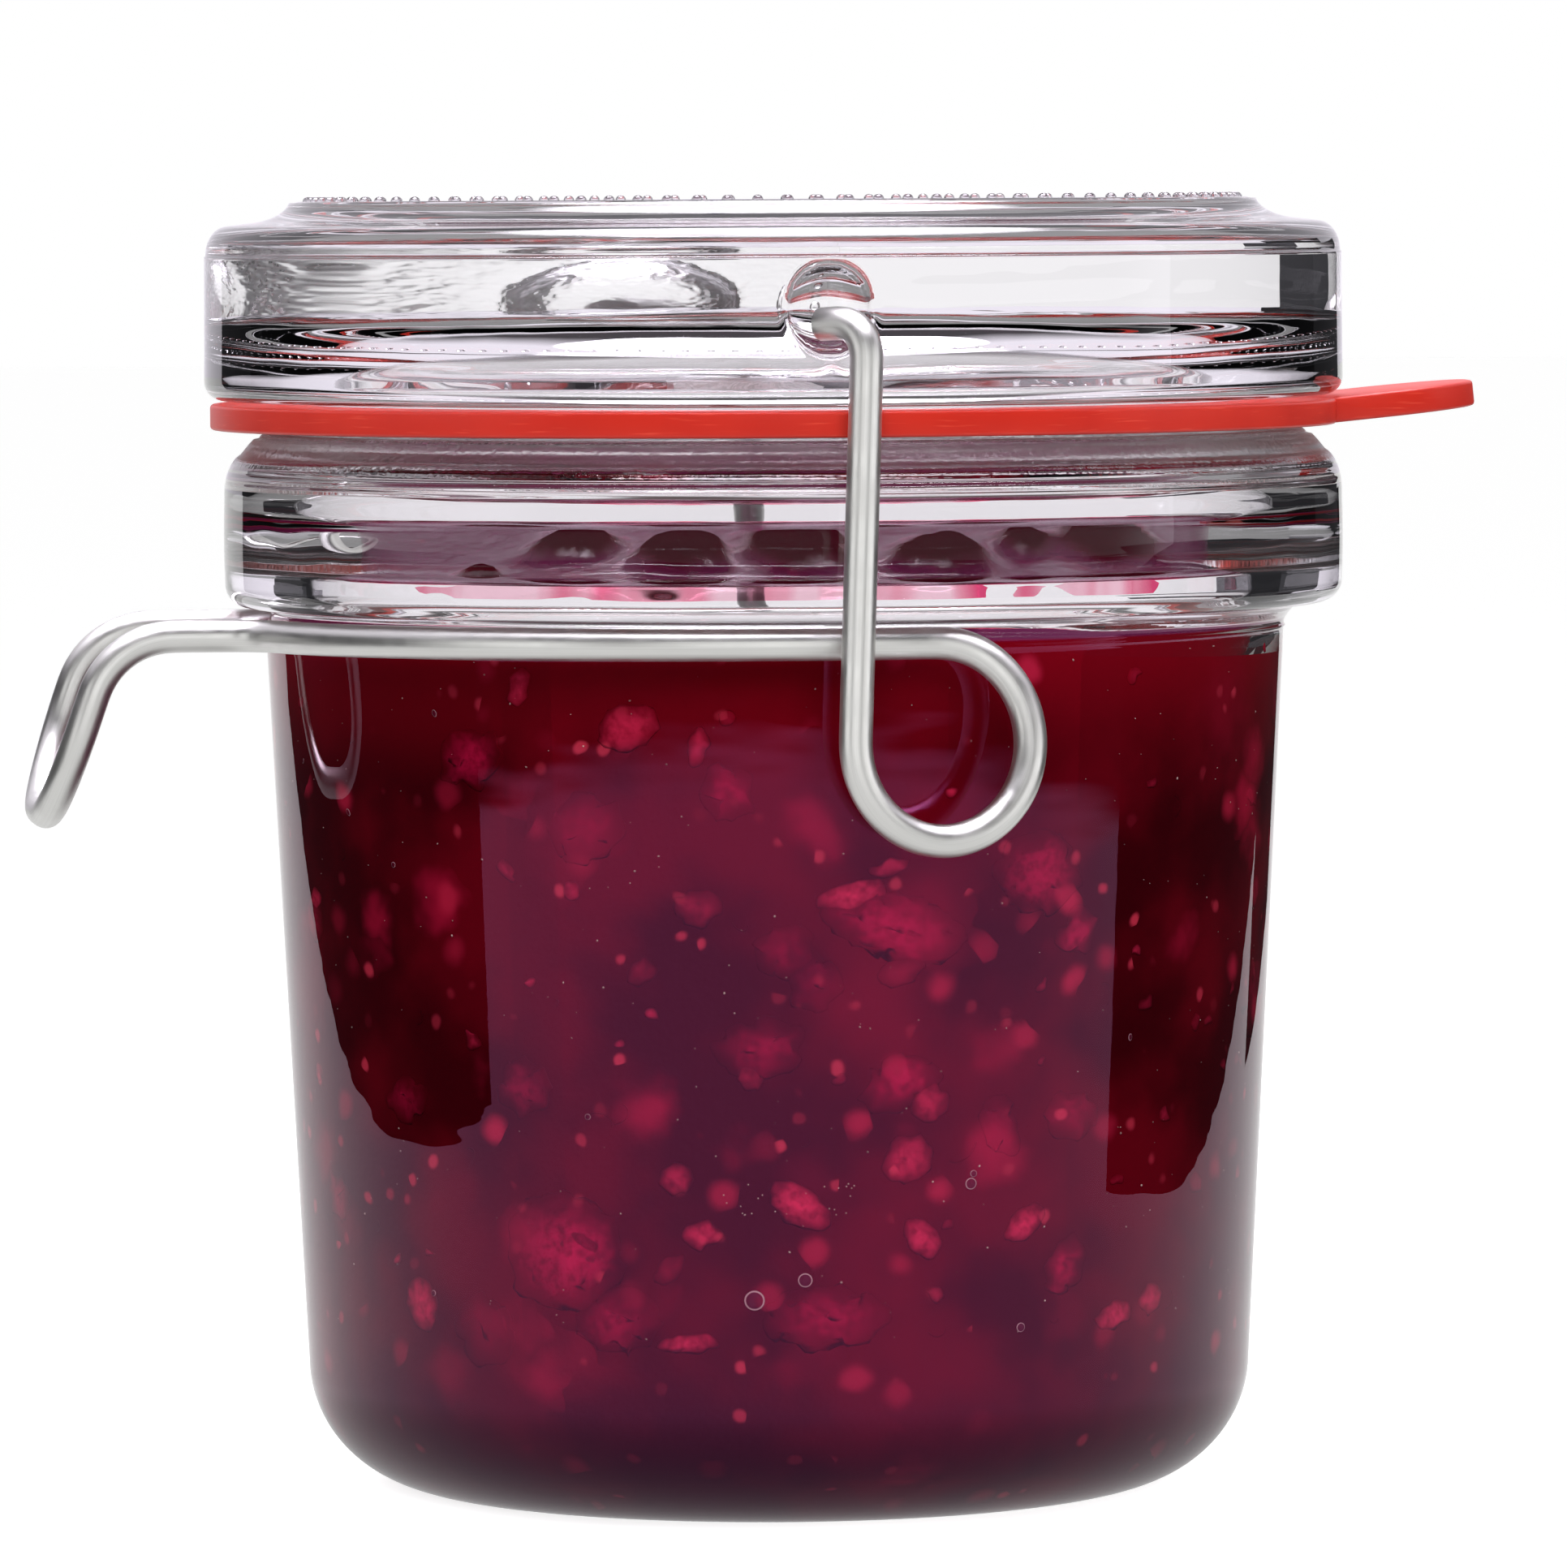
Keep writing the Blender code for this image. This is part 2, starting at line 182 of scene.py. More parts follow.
def matt_white_table():
    """Matt white table top. The little light it gives off keeps it white right up to the jar."""
    made, tree = new_material("matt_white_table")
    diffuse = add_node(tree, "ShaderNodeBsdfDiffuse", {"Color": (TABLE_GREY, TABLE_GREY, TABLE_GREY, 1)})
    glow = add_node(tree, "ShaderNodeEmission", {"Color": (1, 1, 1, 1), "Strength": TABLE_GLOW})
    both = add_node(tree, "ShaderNodeAddShader", {0: diffuse, 1: glow})
    # The jar takes light from the table round its foot, and shows that darker patch in its own skin.
    where = add_node(tree, "ShaderNodeTexCoord").outputs["Object"]
    away = add_node(tree, "ShaderNodeVectorMath", {0: where}, operation="LENGTH")
    near, far = SHADE_EDGES
    dark, light = SHADE_LEVELS
    shaded = add_node(
        tree, "ShaderNodeMapRange",
        {"Value": away, "From Min": near, "From Max": far, "To Min": dark, "To Max": light},
        interpolation_type="SMOOTHSTEP",
    )
    # Its far front lies in the dark, which a mirror shows, and so do the depths of the glass.
    path = add_node(tree, "ShaderNodeLightPath")
    bounced = depth_mask(tree, path)
    sides = add_node(tree, "ShaderNodeSeparateXYZ", {0: where})
    front = add_node(tree, "ShaderNodeMath", {0: sides.outputs["Y"], 1: 0.0}, operation="LESS_THAN")
    near, far = DARK_EDGES
    fading = add_node(
        tree, "ShaderNodeMapRange",
        {"Value": away, "From Min": near, "From Max": far, "To Max": FRONT_LOSS},
        interpolation_type="SMOOTHSTEP",
    )
    faded = add_node(tree, "ShaderNodeMath", {0: fading, 1: front}, operation="MULTIPLY")
    coming_out = path.outputs["Is Transmission Ray"]
    inside = add_node(tree, "ShaderNodeMath", {0: coming_out, 1: INSIDE_LOSS}, operation="MULTIPLY")
    lost = add_node(tree, "ShaderNodeMath", {0: faded, 1: inside}, operation="MAXIMUM")
    lost = add_node(tree, "ShaderNodeMath", {0: lost, 1: bounced}, operation="MULTIPLY")
    kept = add_node(tree, "ShaderNodeMath", {0: 1.0, 1: lost}, operation="SUBTRACT")
    strength = add_node(tree, "ShaderNodeMath", {0: shaded, 1: kept}, operation="MULTIPLY")
    white = add_node(tree, "ShaderNodeEmission", {"Color": (1, 1, 1, 1), "Strength": strength})
    mix = add_node(tree, "ShaderNodeMixShader", {"Fac": path.outputs["Is Camera Ray"], 1: white, 2: both})
    add_node(tree, "ShaderNodeOutputMaterial", {"Surface": mix})
    return made


def flag_cloth(name, shade, straight=False, mirrored=False):
    """Dark cloth on a frame that shows in the glass alone: in light that passed straight through it,
    in light that was mirrored, or in both."""
    made, tree = new_material(name)
    cloth = add_node(tree, "ShaderNodeEmission", {"Color": (*shade, 1)})
    if not (straight and mirrored):
        bounced = depth_mask(tree, add_node(tree, "ShaderNodeLightPath"))
        clear = add_node(tree, "ShaderNodeBsdfTransparent")
        first, second = (cloth, clear) if straight else (clear, cloth)
        cloth = add_node(tree, "ShaderNodeMixShader", {"Fac": bounced, 1: first, 2: second})
    add_node(tree, "ShaderNodeOutputMaterial", {"Surface": cloth})
    return made


# %% Table and cards
TABLE_FRONT = 468
TABLE_FAR = 6000
TABLE_HEIGHT = -0.02  # just under the jar, so that the two never share a surface
CARD_TOP = 150
FLAG_DISTANCE = 250


def from_camera(ahead, right, height):
    """A point by its distance behind the jar and to the right of it, as the camera sees it."""
    sine, cosine = math.sin(CAMERA_TURN), math.cos(CAMERA_TURN)
    return (right * cosine + ahead * sine, -right * sine + ahead * cosine, height)


def stage_plane(name, corners, finish):
    """A flat or bent piece of the studio, which isn't part of the object."""
    mesh = bpy.data.meshes.new(name)
    mesh.from_pydata([Vector(corner) * MM for corner in corners], [], [range(len(corners))])
    mesh.materials.append(finish)
    obj = new_object(name, mesh)
    return obj


def screen(name, corners, finish):
    """A flag or card: neither the camera nor the light on matt surfaces meets it."""
    obj = stage_plane(name, corners, finish)
    obj.visible_camera = False
    obj.visible_shadow = False
    obj.visible_diffuse = False


def flag(name, start, end, low, high, finish):
    """An upright strip on a circle round the jar, from start to end degrees off the view."""
    steps = [math.radians(start + (end - start) * i / 4) for i in range(5)]
    feet = [from_camera(FLAG_DISTANCE * math.cos(a), FLAG_DISTANCE * math.sin(a), 0) for a in steps]
    upper = [(x, y, high) for x, y, _ in feet[::-1]]
    screen(name, [(x, y, low) for x, y, _ in feet] + upper, finish)


def card(name, side, near, far, distance, top, finish, lift=0):
    """An upright card beside the jar, parallel to the view, from near to far behind the jar. Its
    lower edge curves up by lift towards the far end."""
    steps = [i / 12 for i in range(13)]
    foot = [(near + (far - near) * share, lift * share**2.5) for share in steps]
    corners = [from_camera(ahead, side * distance, height) for ahead, height in foot]
    corners += [from_camera(far, side * distance, top), from_camera(near, side * distance, top)]
    screen(name, corners, finish)


table_corners = [
    (-TABLE_FAR, -TABLE_FRONT, TABLE_HEIGHT),
    (TABLE_FAR, -TABLE_FRONT, TABLE_HEIGHT),
    (TABLE_FAR, TABLE_FAR, TABLE_HEIGHT),
    (-TABLE_FAR, TABLE_FAR, TABLE_HEIGHT),
]
stage_plane("stage_table", table_corners, matt_white_table())
black_cloth = flag_cloth("black_flag_cloth", (0.02, 0.02, 0.022), mirrored=True)
card("stage_card_left", -1, -98, 256, 215, CARD_TOP, black_cloth, 42)
card("stage_card_right", 1, -44, 225, 188, CARD_TOP, black_cloth, 34)
card("stage_card_right_low", 1, 256, 600, 215, 72, black_cloth)
grey_cloth = flag_cloth("grey_flag_cloth", (0.035, 0.035, 0.04), straight=True)
lid_cloth = flag_cloth("lid_flag_cloth", (0.05, 0.05, 0.055), straight=True, mirrored=True)
flag("stage_flag_right_high", 33, 52, 75, 89, grey_cloth)
flag("stage_flag_right_lid", 29, 66, 72, 124, lid_cloth)
flag("stage_flag_left_lid", -42, -62, 80, 114, lid_cloth)
flag("stage_flag_right_low", 16, 48, 40, 75, grey_cloth)
flag("stage_flag_left_low", -35, -48, 40, 75, grey_cloth)
print("table ends", TABLE_FRONT, "mm in front of the jar")

# %% World
# The sky by direction: white behind and overhead, dark in front of the jar up to about 60 degrees.
# Edges are where a part of the sky fades, as the cosine to its direction or the sine upwards.
LIGHT_BACK = 1.0
ROOM_DARK = 0.015
ROOM_TOP = 0.9
SOFTBOX = 19.0  # how much brighter than white paper the big lamp overhead looks in a mirror
BACK_EDGES = (-0.35, -0.05)
TOP_EDGES = (0.85, 0.91)
STEEP_EDGES = (0.27, 0.44)
STEEP_LOSS = 0.93
ASIDE_EDGES = (0.25, 0.5)
CEILING_EDGES = (0.45, 0.65)
CEILING_LEVEL = 0.08
MIRRORED_TINT = (0.955, 0.915, 1.0, 1)

world = bpy.data.worlds.new("studio")
bpy.context.scene.world = world
world.use_nodes = True
tree = world.node_tree
tree.nodes.clear()
where = add_node(tree, "ShaderNodeTexCoord").outputs["Generated"]
upward = add_node(tree, "ShaderNodeSeparateXYZ", {0: where}).outputs["Z"]
path = add_node(tree, "ShaderNodeLightPath")
bounced = depth_mask(tree, path)
to_back = (math.sin(CAMERA_TURN), math.cos(CAMERA_TURN), 0)
behind = add_node(tree, "ShaderNodeVectorMath", {0: where, 1: to_back}, operation="DOT_PRODUCT")
start, end = BACK_EDGES
back = add_node(
    tree, "ShaderNodeMapRange",
    {"Value": behind, "From Min": start, "From Max": end, "To Min": ROOM_DARK, "To Max": LIGHT_BACK},
    interpolation_type="SMOOTHSTEP",
)
start, end = TOP_EDGES
overhead = add_node(
    tree, "ShaderNodeMapRange", {"Value": upward, "From Min": start, "From Max": end, "To Max": ROOM_TOP},
    interpolation_type="SMOOTHSTEP",
)
# What leaves the glass steeply upwards, near the view's plane, finds hardly any light after a
# mirroring inside it.
start, end = STEEP_EDGES
upwards = add_node(
    tree, "ShaderNodeMapRange", {"Value": upward, "From Min": start, "From Max": end, "To Max": -STEEP_LOSS}
)
to_right = (math.cos(CAMERA_TURN), -math.sin(CAMERA_TURN), 0)
sideways = add_node(tree, "ShaderNodeVectorMath", {0: where, 1: to_right}, operation="DOT_PRODUCT")
aside = add_node(tree, "ShaderNodeMath", {0: sideways}, operation="ABSOLUTE")
start, end = ASIDE_EDGES
ahead = add_node(
    tree, "ShaderNodeMapRange",
    {"Value": aside, "From Min": start, "From Max": end, "To Min": 1.0, "To Max": 0.0},
)
upwards = add_node(tree, "ShaderNodeMath", {0: upwards, 1: ahead}, operation="MULTIPLY")
coming_out = add_node(
    tree, "ShaderNodeMath", {0: path.outputs["Is Transmission Ray"], 1: upwards, 2: 1.0},
    operation="MULTIPLY_ADD",
)
widest = add_node(tree, "ShaderNodeMath", {0: back, 1: overhead}, operation="MAXIMUM")
room = add_node(tree, "ShaderNodeMath", {0: widest, 1: coming_out}, operation="MULTIPLY")
# A mirror shows the lamp itself overhead, which is much brighter than the room that it lights.
mirrored = add_node(
    tree, "ShaderNodeMath", {0: path.outputs["Is Glossy Ray"], 1: path.outputs["Diffuse Depth"]},
    operation="SUBTRACT", use_clamp=True,
)
lamp_seen = add_node(tree, "ShaderNodeMath", {0: mirrored, 1: overhead}, operation="MULTIPLY")
room = add_node(tree, "ShaderNodeMath", {0: lamp_seen, 1: SOFTBOX, 2: room}, operation="MULTIPLY_ADD")
# Straight through the glass the sky is white, but for a dark ceiling above about 30 degrees.
start, end = CEILING_EDGES
ceiling = add_node(
    tree, "ShaderNodeMapRange",
    {"Value": upward, "From Min": start, "From Max": end, "To Min": 1.0, "To Max": CEILING_LEVEL},
    interpolation_type="SMOOTHSTEP",
)
in_view = path.outputs["Is Camera Ray"]
sky = add_node(tree, "ShaderNodeMath", {0: ceiling, 1: in_view}, operation="MAXIMUM")
straight = add_node(tree, "ShaderNodeMath", {0: 1.0, 1: bounced}, operation="SUBTRACT")
passed = add_node(
    tree, "ShaderNodeMath", {0: straight, 1: path.outputs["Is Transmission Ray"]}, operation="MULTIPLY"
)
plain = add_node(tree, "ShaderNodeMath", {0: passed, 1: in_view}, operation="MAXIMUM")
value = add_node(tree, "ShaderNodeMix", {"Factor": plain, "A": room, "B": sky}, data_type="FLOAT")
# Mirrored light is a little lavender, as the daylight lamps are.
glossy_only = add_node(
    tree, "ShaderNodeMath", {0: path.outputs["Glossy Depth"], 1: path.outputs["Diffuse Depth"]},
    operation="SUBTRACT", use_clamp=True,
)
tone = add_node(
    tree, "ShaderNodeMix", {"Factor": glossy_only, "A": (1, 1, 1, 1), "B": MIRRORED_TINT}, data_type="RGBA"
)
background = add_node(tree, "ShaderNodeBackground", {"Color": tone, "Strength": value})
add_node(tree, "ShaderNodeOutputWorld", {"Surface": background})
print("white sky for rays that only pass through glass, studio for the rest")

# %% Soft lights
# Large soft lights all round, which matt surfaces get their light from. They stay out of mirror
# reflections, because the sky and the table already give the glass and the wire theirs.
LAMP_RING = 520
LAMP_HEIGHT = 300
LAMP_SIZE = 350
LAMP_TARGET = Vector((0, 0, 50))
LAMP_COUNT = 5
LAMP_WATTS = 1.3
FRONT_LAMP_WATTS = 3.4


def area_lamp(name, watts, width, height, place, target):
    """A rectangular lamp, in mm, that shines from its place at a target."""
    data = bpy.data.lights.new(name, "AREA")
    data.energy = watts
    data.shape = "RECTANGLE"
    data.size = width * MM
    data.size_y = height * MM
    obj = new_object(name, data)
    obj.location = place * MM
    obj.rotation_euler = (target - place).to_track_quat("-Z", "Y").to_euler()
    obj.visible_camera = False
    return obj


for i in range(LAMP_COUNT):
    watts = FRONT_LAMP_WATTS if i == 0 else LAMP_WATTS
    place = around_axis(LAMP_RING, 2 * math.pi * i / LAMP_COUNT - math.pi / 2, LAMP_HEIGHT)
    lamp = area_lamp(f"softbox_{i}", watts, LAMP_SIZE, LAMP_SIZE, place, LAMP_TARGET)
    lamp.visible_glossy = False
    lamp.visible_transmission = False
print(LAMP_COUNT, "soft lights at", LAMP_RING, "mm")

# %% [markdown]
# Satin steel needs something bright to mirror. Three wide panels in front of the jar shine on the
# wire alone, through light linking, so that the glass keeps its dark and clear look.

# %% Panels for the wire
PANEL_DISTANCE = 430
PANEL_WATTS = 0.55
PANEL_WIDTH = 400
PANEL_HEIGHT = 300
PANEL_TARGET = Vector((0, 0, 70))
wire_only = bpy.data.collections.new("wire_only")
for turn, level in ((-62, 62), (0, 78), (62, 62)):
    angle = math.radians(turn)
    place = from_camera(-PANEL_DISTANCE * math.cos(angle), PANEL_DISTANCE * math.sin(angle), level)
    panel = area_lamp("wire_panel", PANEL_WATTS, PANEL_WIDTH, PANEL_HEIGHT, Vector(place), PANEL_TARGET)
    panel.light_linking.receiver_collection = wire_only
print("three panels for the wire")

# %% [markdown]
# ## Clear pressed glass
# Jar and lid are soda-lime glass, pressed hot in a steel mould and then fire polished. It has an
# index of about 1.52 and hardly any colour, but its skin is not flat: it rolls by some hundredths of
# a millimetre, and where the mould was etched it is finely hammered. A shadow ray passes straight
# through, so that the jam behind gets its light.

# %% Glass
GLASS_IOR = 1.52
JAM_LEVEL = 72.0
HAMMER_REAR = 20  # a patch of hammered skin starts this far behind the axis
HAMMER_FADE = 1  # how far above and below it the hammered skin fades
RINGS = (82.8, 83.6, 87.2, 87.4)  # where the mould's rings fade in and out on the collar's shoulder
RING_DEPTH = 0.85


def between(tree, level, low, full_low, full_high, high):
    """1 between two heights in mm, falling to 0 at low and at high."""
    rising = add_node(
        tree, "ShaderNodeMapRange", {"Value": level, "From Min": low * MM, "From Max": full_low * MM}
    )
    falling = add_node(
        tree, "ShaderNodeMapRange", {"Value": level, "From Min": high * MM, "From Max": full_high * MM}
    )
    return add_node(tree, "ShaderNodeMath", {0: rising, 1: falling}, operation="MULTIPLY")


def clear_to_shadows(tree, shader):
    """Ends a clear material, which a shadow ray passes straight through."""
    path = add_node(tree, "ShaderNodeLightPath")
    clear = add_node(tree, "ShaderNodeBsdfTransparent")
    mix = add_node(tree, "ShaderNodeMixShader", {"Fac": path.outputs["Is Shadow Ray"], 1: shader, 2: clear})
    add_node(tree, "ShaderNodeOutputMaterial", {"Surface": mix})


def pressed_glass(name, tint, wave_depth, hammer_depth, hammer_low, hammer_high, dullness, behind=None):
    """Soda-lime glass with slow waves and a hammered, slightly dull skin between two heights, in mm.
    Where behind is given, only that half width of the skin is hammered, on +Y. The tint is that of
    mirrored light where jam backs the glass, so it ends at the jam's level."""
    made, tree = new_material(name)
    where = add_node(tree, "ShaderNodeTexCoord").outputs["Object"]
    # Slow waves: the mould's steel was turned, so they are 9 mm wide and 3 mm high.
    stretched = add_node(tree, "ShaderNodeMapping", {"Vector": where, "Scale": (110, 110, 330)})
    waves = add_node(
        tree, "ShaderNodeTexNoise", {"Vector": stretched, "Scale": 1.0, "Detail": 1.0, "Roughness": 0.4}
    )
    # Hammered skin: pits of about 0.5 mm.
    pits = add_node(tree, "ShaderNodeTexNoise", {"Vector": where, "Scale": 1900, "Detail": 1.0})
    axes = add_node(tree, "ShaderNodeSeparateXYZ", {0: where})
    level = axes.outputs["Z"]
    below, above = hammer_low - HAMMER_FADE, hammer_high + HAMMER_FADE
    band = between(tree, level, below, hammer_low, hammer_high, above)
    if behind:
        inside = add_node(
            tree, "ShaderNodeMath", {0: axes.outputs["X"], 1: 0.0, 2: behind * MM}, operation="COMPARE"
        )
        rear = add_node(
            tree, "ShaderNodeMath", {0: axes.outputs["Y"], 1: HAMMER_REAR * MM}, operation="GREATER_THAN"
        )
        patch = add_node(tree, "ShaderNodeMath", {0: inside, 1: rear}, operation="MULTIPLY")
        band = add_node(tree, "ShaderNodeMath", {0: band, 1: patch}, operation="MULTIPLY")
    dull = add_node(tree, "ShaderNodeMath", {0: band, 1: dullness}, operation="MULTIPLY")
    start, end = (JAM_LEVEL + 0.2) * MM, (JAM_LEVEL + 1.2) * MM
    above_jam = add_node(tree, "ShaderNodeMapRange", {"Value": level, "From Min": start, "From Max": end})
    mirrored = add_node(
        tree, "ShaderNodeMix", {"Factor": above_jam, "A": tint, "B": (1, 1, 1, 1)}, data_type="RGBA"
    )
    hammered = add_node(tree, "ShaderNodeMath", {0: pits, 1: band}, operation="MULTIPLY")
    rough = add_node(tree, "ShaderNodeBump", {"Height": hammered, "Distance": hammer_depth * MM})
    # Fine rings left by the turned mould, 0.9 mm apart, on the shoulder of the jar's collar alone.
    long = add_node(tree, "ShaderNodeMapping", {"Vector": where, "Scale": (9, 9, 1150)})
    rings = add_node(tree, "ShaderNodeTexNoise", {"Vector": long, "Scale": 1.0, "Detail": 1.0})
    turned = between(tree, level, *RINGS)
    ringed = add_node(tree, "ShaderNodeMath", {0: rings, 1: turned}, operation="MULTIPLY")
    lined = add_node(
        tree, "ShaderNodeBump", {"Height": ringed, "Distance": RING_DEPTH * MM, "Normal": rough}
    )
    rolled = add_node(
        tree, "ShaderNodeBump", {"Height": waves, "Distance": wave_depth * MM, "Normal": lined}
    )
    shader = add_node(
        tree, "ShaderNodeBsdfPrincipled",
        {
            "Base Color": hex_to_linear("fcfafd"), "Roughness": dull, "IOR": GLASS_IOR,
            "Transmission Weight": 1.0, "Specular Tint": mirrored, "Normal": rolled,
        },
    )
    clear_to_shadows(tree, shader)
    return made


jar_glass = pressed_glass(
    "pressed_soda_lime_glass_jar", (1.0, 0.26, 0.74, 1),
    wave_depth=0.014, hammer_depth=0.10, hammer_low=85.3, hammer_high=86.9, dullness=0.3,
)
lid_glass = pressed_glass(
    "pressed_soda_lime_glass_lid", (1, 1, 1, 1),
    wave_depth=0.02, hammer_depth=0.15, hammer_low=93.5, hammer_high=102, dullness=0.33, behind=6.5,
)
print("glass index", GLASS_IOR)

# %% [markdown]
# ## Turned pieces
# Jar, lid, gasket and jam are round, so each starts as a profile of radius and height that is turned
# about the jar's axis. The facets are close enough to vanish in glass, which magnifies every flat.

# %% Lathe
TURN_STEPS = 256
ROUND = [2 * math.pi * i / TURN_STEPS for i in range(TURN_STEPS)]


def lathe(name, profile, angles, finish, closed=False, move=None):
    """Turns a profile that runs down its outer side. A point with radius 0 closes a pole."""
    verts, faces, rings = [], [], []
    for radius, height in profile:
        ring = []
        for angle in angles if radius > 0 else [0]:
            point = around_axis(radius, angle, height)
            ring.append(len(verts))
            verts.append((move(point) if move else point) * MM)
        rings.append(ring)
    for upper, lower in zip(rings, rings[1:] + rings[:1] if closed else rings[1:]):
        for i in range(len(angles)):
            j = (i + 1) % len(angles)
            left = [upper[i % len(upper)], lower[i % len(lower)]]
            right = [lower[j % len(lower)], upper[j % len(upper)]]
            faces.append(list(dict.fromkeys(left + right)))
    mesh = bpy.data.meshes.new(name)
    mesh.from_pydata(verts, [], faces)
    mesh.materials.append(finish)
    mesh.shade_smooth()
    return new_object(name, mesh)


def finished(obj, node=None):
    """Hangs a finished piece on the object's body, hides the part that it replaces, and prints its name and
    faces.
    """
    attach(obj, "root")
    if node:
        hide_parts(node)
    print(obj.name, len(obj.data.polygons), "faces")


# %% [markdown]
# ## The jar
# The body widens towards the collar and has a thick wall. The pressed collar and mouth sit a little
# off the blown body, and the mould's parting line shows as a fine ridge just below the collar. The
# profile runs from the axis over the floor, up the inside, over the rim and down the outside.

# %% Jar
BASE_RADIUS = 27.6
HEEL_RADIUS = 38.95
HEEL_HEIGHT = 10.6
NECK_RADIUS = 42.15
COLLAR_RADIUS = 46.15
COLLAR_BOTTOM = 73.0
COLLAR_OFFSET = 0.75
OFFSET_FROM = 71.2
RIM_HEIGHT = 87.3
RIM_RADIUS = 43.3
WALL = 3.1
FLOOR = 5.6
FLOOR_CORNER = 8.0
THROAT_RADIUS = 38.8  # inside of the collar below its conical part
CONE_BOTTOM = 76.1
CONE_TOP = 80.7
BORE_RADIUS = 40.5
FLARE_BOTTOM = 82.2  # from here the mouth widens a little to the rim
FLARE = 0.75
SHOULDER_BOTTOM = 82.3  # where the collar's side starts to curve inwards
PUNT_DEPTH = 0.5  # how far the middle of the base is pushed up
SEAM_HEIGHT = 70.6
SEAM_TILT = 0.011
MOUTH_WAVE = 0.04  # how far the inside of the mouth waves


def beside_body(point):
    """Moves the collar and the mouth sideways, off the body."""
    share = (point.z - OFFSET_FROM) / (COLLAR_BOTTOM - OFFSET_FROM)
    return point + Vector((COLLAR_OFFSET * smooth(share), 0, 0))


def outer_wall(height):
    """Outside radius of the body, which widens from its heel to the collar."""
    share = (height - HEEL_HEIGHT) / (COLLAR_BOTTOM - HEEL_HEIGHT)
    return HEEL_RADIUS + (NECK_RADIUS - HEEL_RADIUS) * share


def inner_wall(height):
    """Inside radius of the jar above the floor's corner: it widens as far as the collar."""
    return outer_wall(min(height, COLLAR_BOTTOM)) - WALL


def floor_curve(shrink, count):
    """The inside from the axis over the floor and round its corner, made smaller by shrink."""
    corner = FLOOR_CORNER - shrink
    centre = (inner_wall(FLOOR + FLOOR_CORNER) - FLOOR_CORNER, FLOOR + FLOOR_CORNER)
    flat = line((0, FLOOR + shrink), (centre[0], FLOOR + shrink), 6)
    return flat + arc(centre, (corner, corner), -90, 0, count)


def jar_skin(point):
    """The jar's surface: the collar's offset, a tilted seam, and slow waves inside the collar."""
    radius = math.hypot(point.x, point.y)
    if abs(point.z - SEAM_HEIGHT) < 1.5:
        point = point + Vector((0, 0, SEAM_TILT * point.x))
    if COLLAR_BOTTOM < point.z < RIM_HEIGHT - 1 and radius < BORE_RADIUS + FLARE + 0.1:
        swell = MOUTH_WAVE * ripple(point, 9) + MOUTH_WAVE / 2 * ripple(point, 4)
        wider = 1 + swell / radius
        point = Vector((point.x * wider, point.y * wider, point.z))
    return beside_body(point)


def jar_profile():
    """The jar's closed outline, from the axis over the floor to the rim and down to the base."""
    inside = floor_curve(0, 14)
    corner_top = FLOOR + FLOOR_CORNER
    inside += line((inner_wall(corner_top), corner_top), (inner_wall(COLLAR_BOTTOM), COLLAR_BOTTOM), 12)[1:]
    inside += line((inner_wall(COLLAR_BOTTOM), COLLAR_BOTTOM), (THROAT_RADIUS, COLLAR_BOTTOM + 1.2), 3)
    inside += line((THROAT_RADIUS, COLLAR_BOTTOM + 1.2), (THROAT_RADIUS, CONE_BOTTOM), 6)
    inside += line((THROAT_RADIUS, CONE_BOTTOM), (BORE_RADIUS, CONE_TOP), 10)
    inside += line((BORE_RADIUS, CONE_TOP), (BORE_RADIUS, FLARE_BOTTOM), 4)
    inside += line((BORE_RADIUS, FLARE_BOTTOM), (BORE_RADIUS + FLARE, RIM_HEIGHT - 0.8), 10)
    inside += arc((BORE_RADIUS + FLARE + 0.6, RIM_HEIGHT - 0.6), (0.6, 0.6), 180, 90, 5)
    rim = arc((RIM_RADIUS - 0.7, RIM_HEIGHT - 0.7), (0.7, 0.7), 90, 12, 5)
    slope = [(43.72, 86.75), (44.15, 86.3)]
    shoulder = arc((COLLAR_RADIUS - 2.0, SHOULDER_BOTTOM), (2.0, 3.4), 72, 0, 14)
    side = line((COLLAR_RADIUS, SHOULDER_BOTTOM - 0.4), (COLLAR_RADIUS, COLLAR_BOTTOM + 2.0), 10)
    side = [(r + 0.06 * math.sin(math.pi * i / 10), z) for i, (r, z) in enumerate(side)]
    underside = arc((COLLAR_RADIUS - 1.9, COLLAR_BOTTOM + 1.9), (1.9, 1.9), 0, -90, 10)
    neck = arc((outer_wall(72.0) + 1.0, COLLAR_BOTTOM - 1.0), (1.0, 1.0), 90, 180, 7)
    ridge = ((71.2, 0), (71.0, 0), (70.75, 0.03), (70.6, 0.16), (70.45, 0.03), (70.2, 0), (70.0, 0))
    seam = [(outer_wall(z) + bump, z) for z, bump in ridge]
    body = line((outer_wall(69.0), 69.0), (HEEL_RADIUS, HEEL_HEIGHT), 24)
    heel = arc((BASE_RADIUS, HEEL_HEIGHT), (HEEL_RADIUS - BASE_RADIUS, HEEL_HEIGHT), 0, -90, 22)
    foot = [(25.4, 0), (24.6, 0.12), (23.6, PUNT_DEPTH - 0.1)]
    foot += [(radius, PUNT_DEPTH) for radius in (22.4, 12, 0)]
    return inside + rim + slope + shoulder + side + underside + neck + seam + body + heel + foot


jar = lathe("jar_glass", jar_profile(), ROUND, jar_glass, move=jar_skin)
finished(jar, "jar")

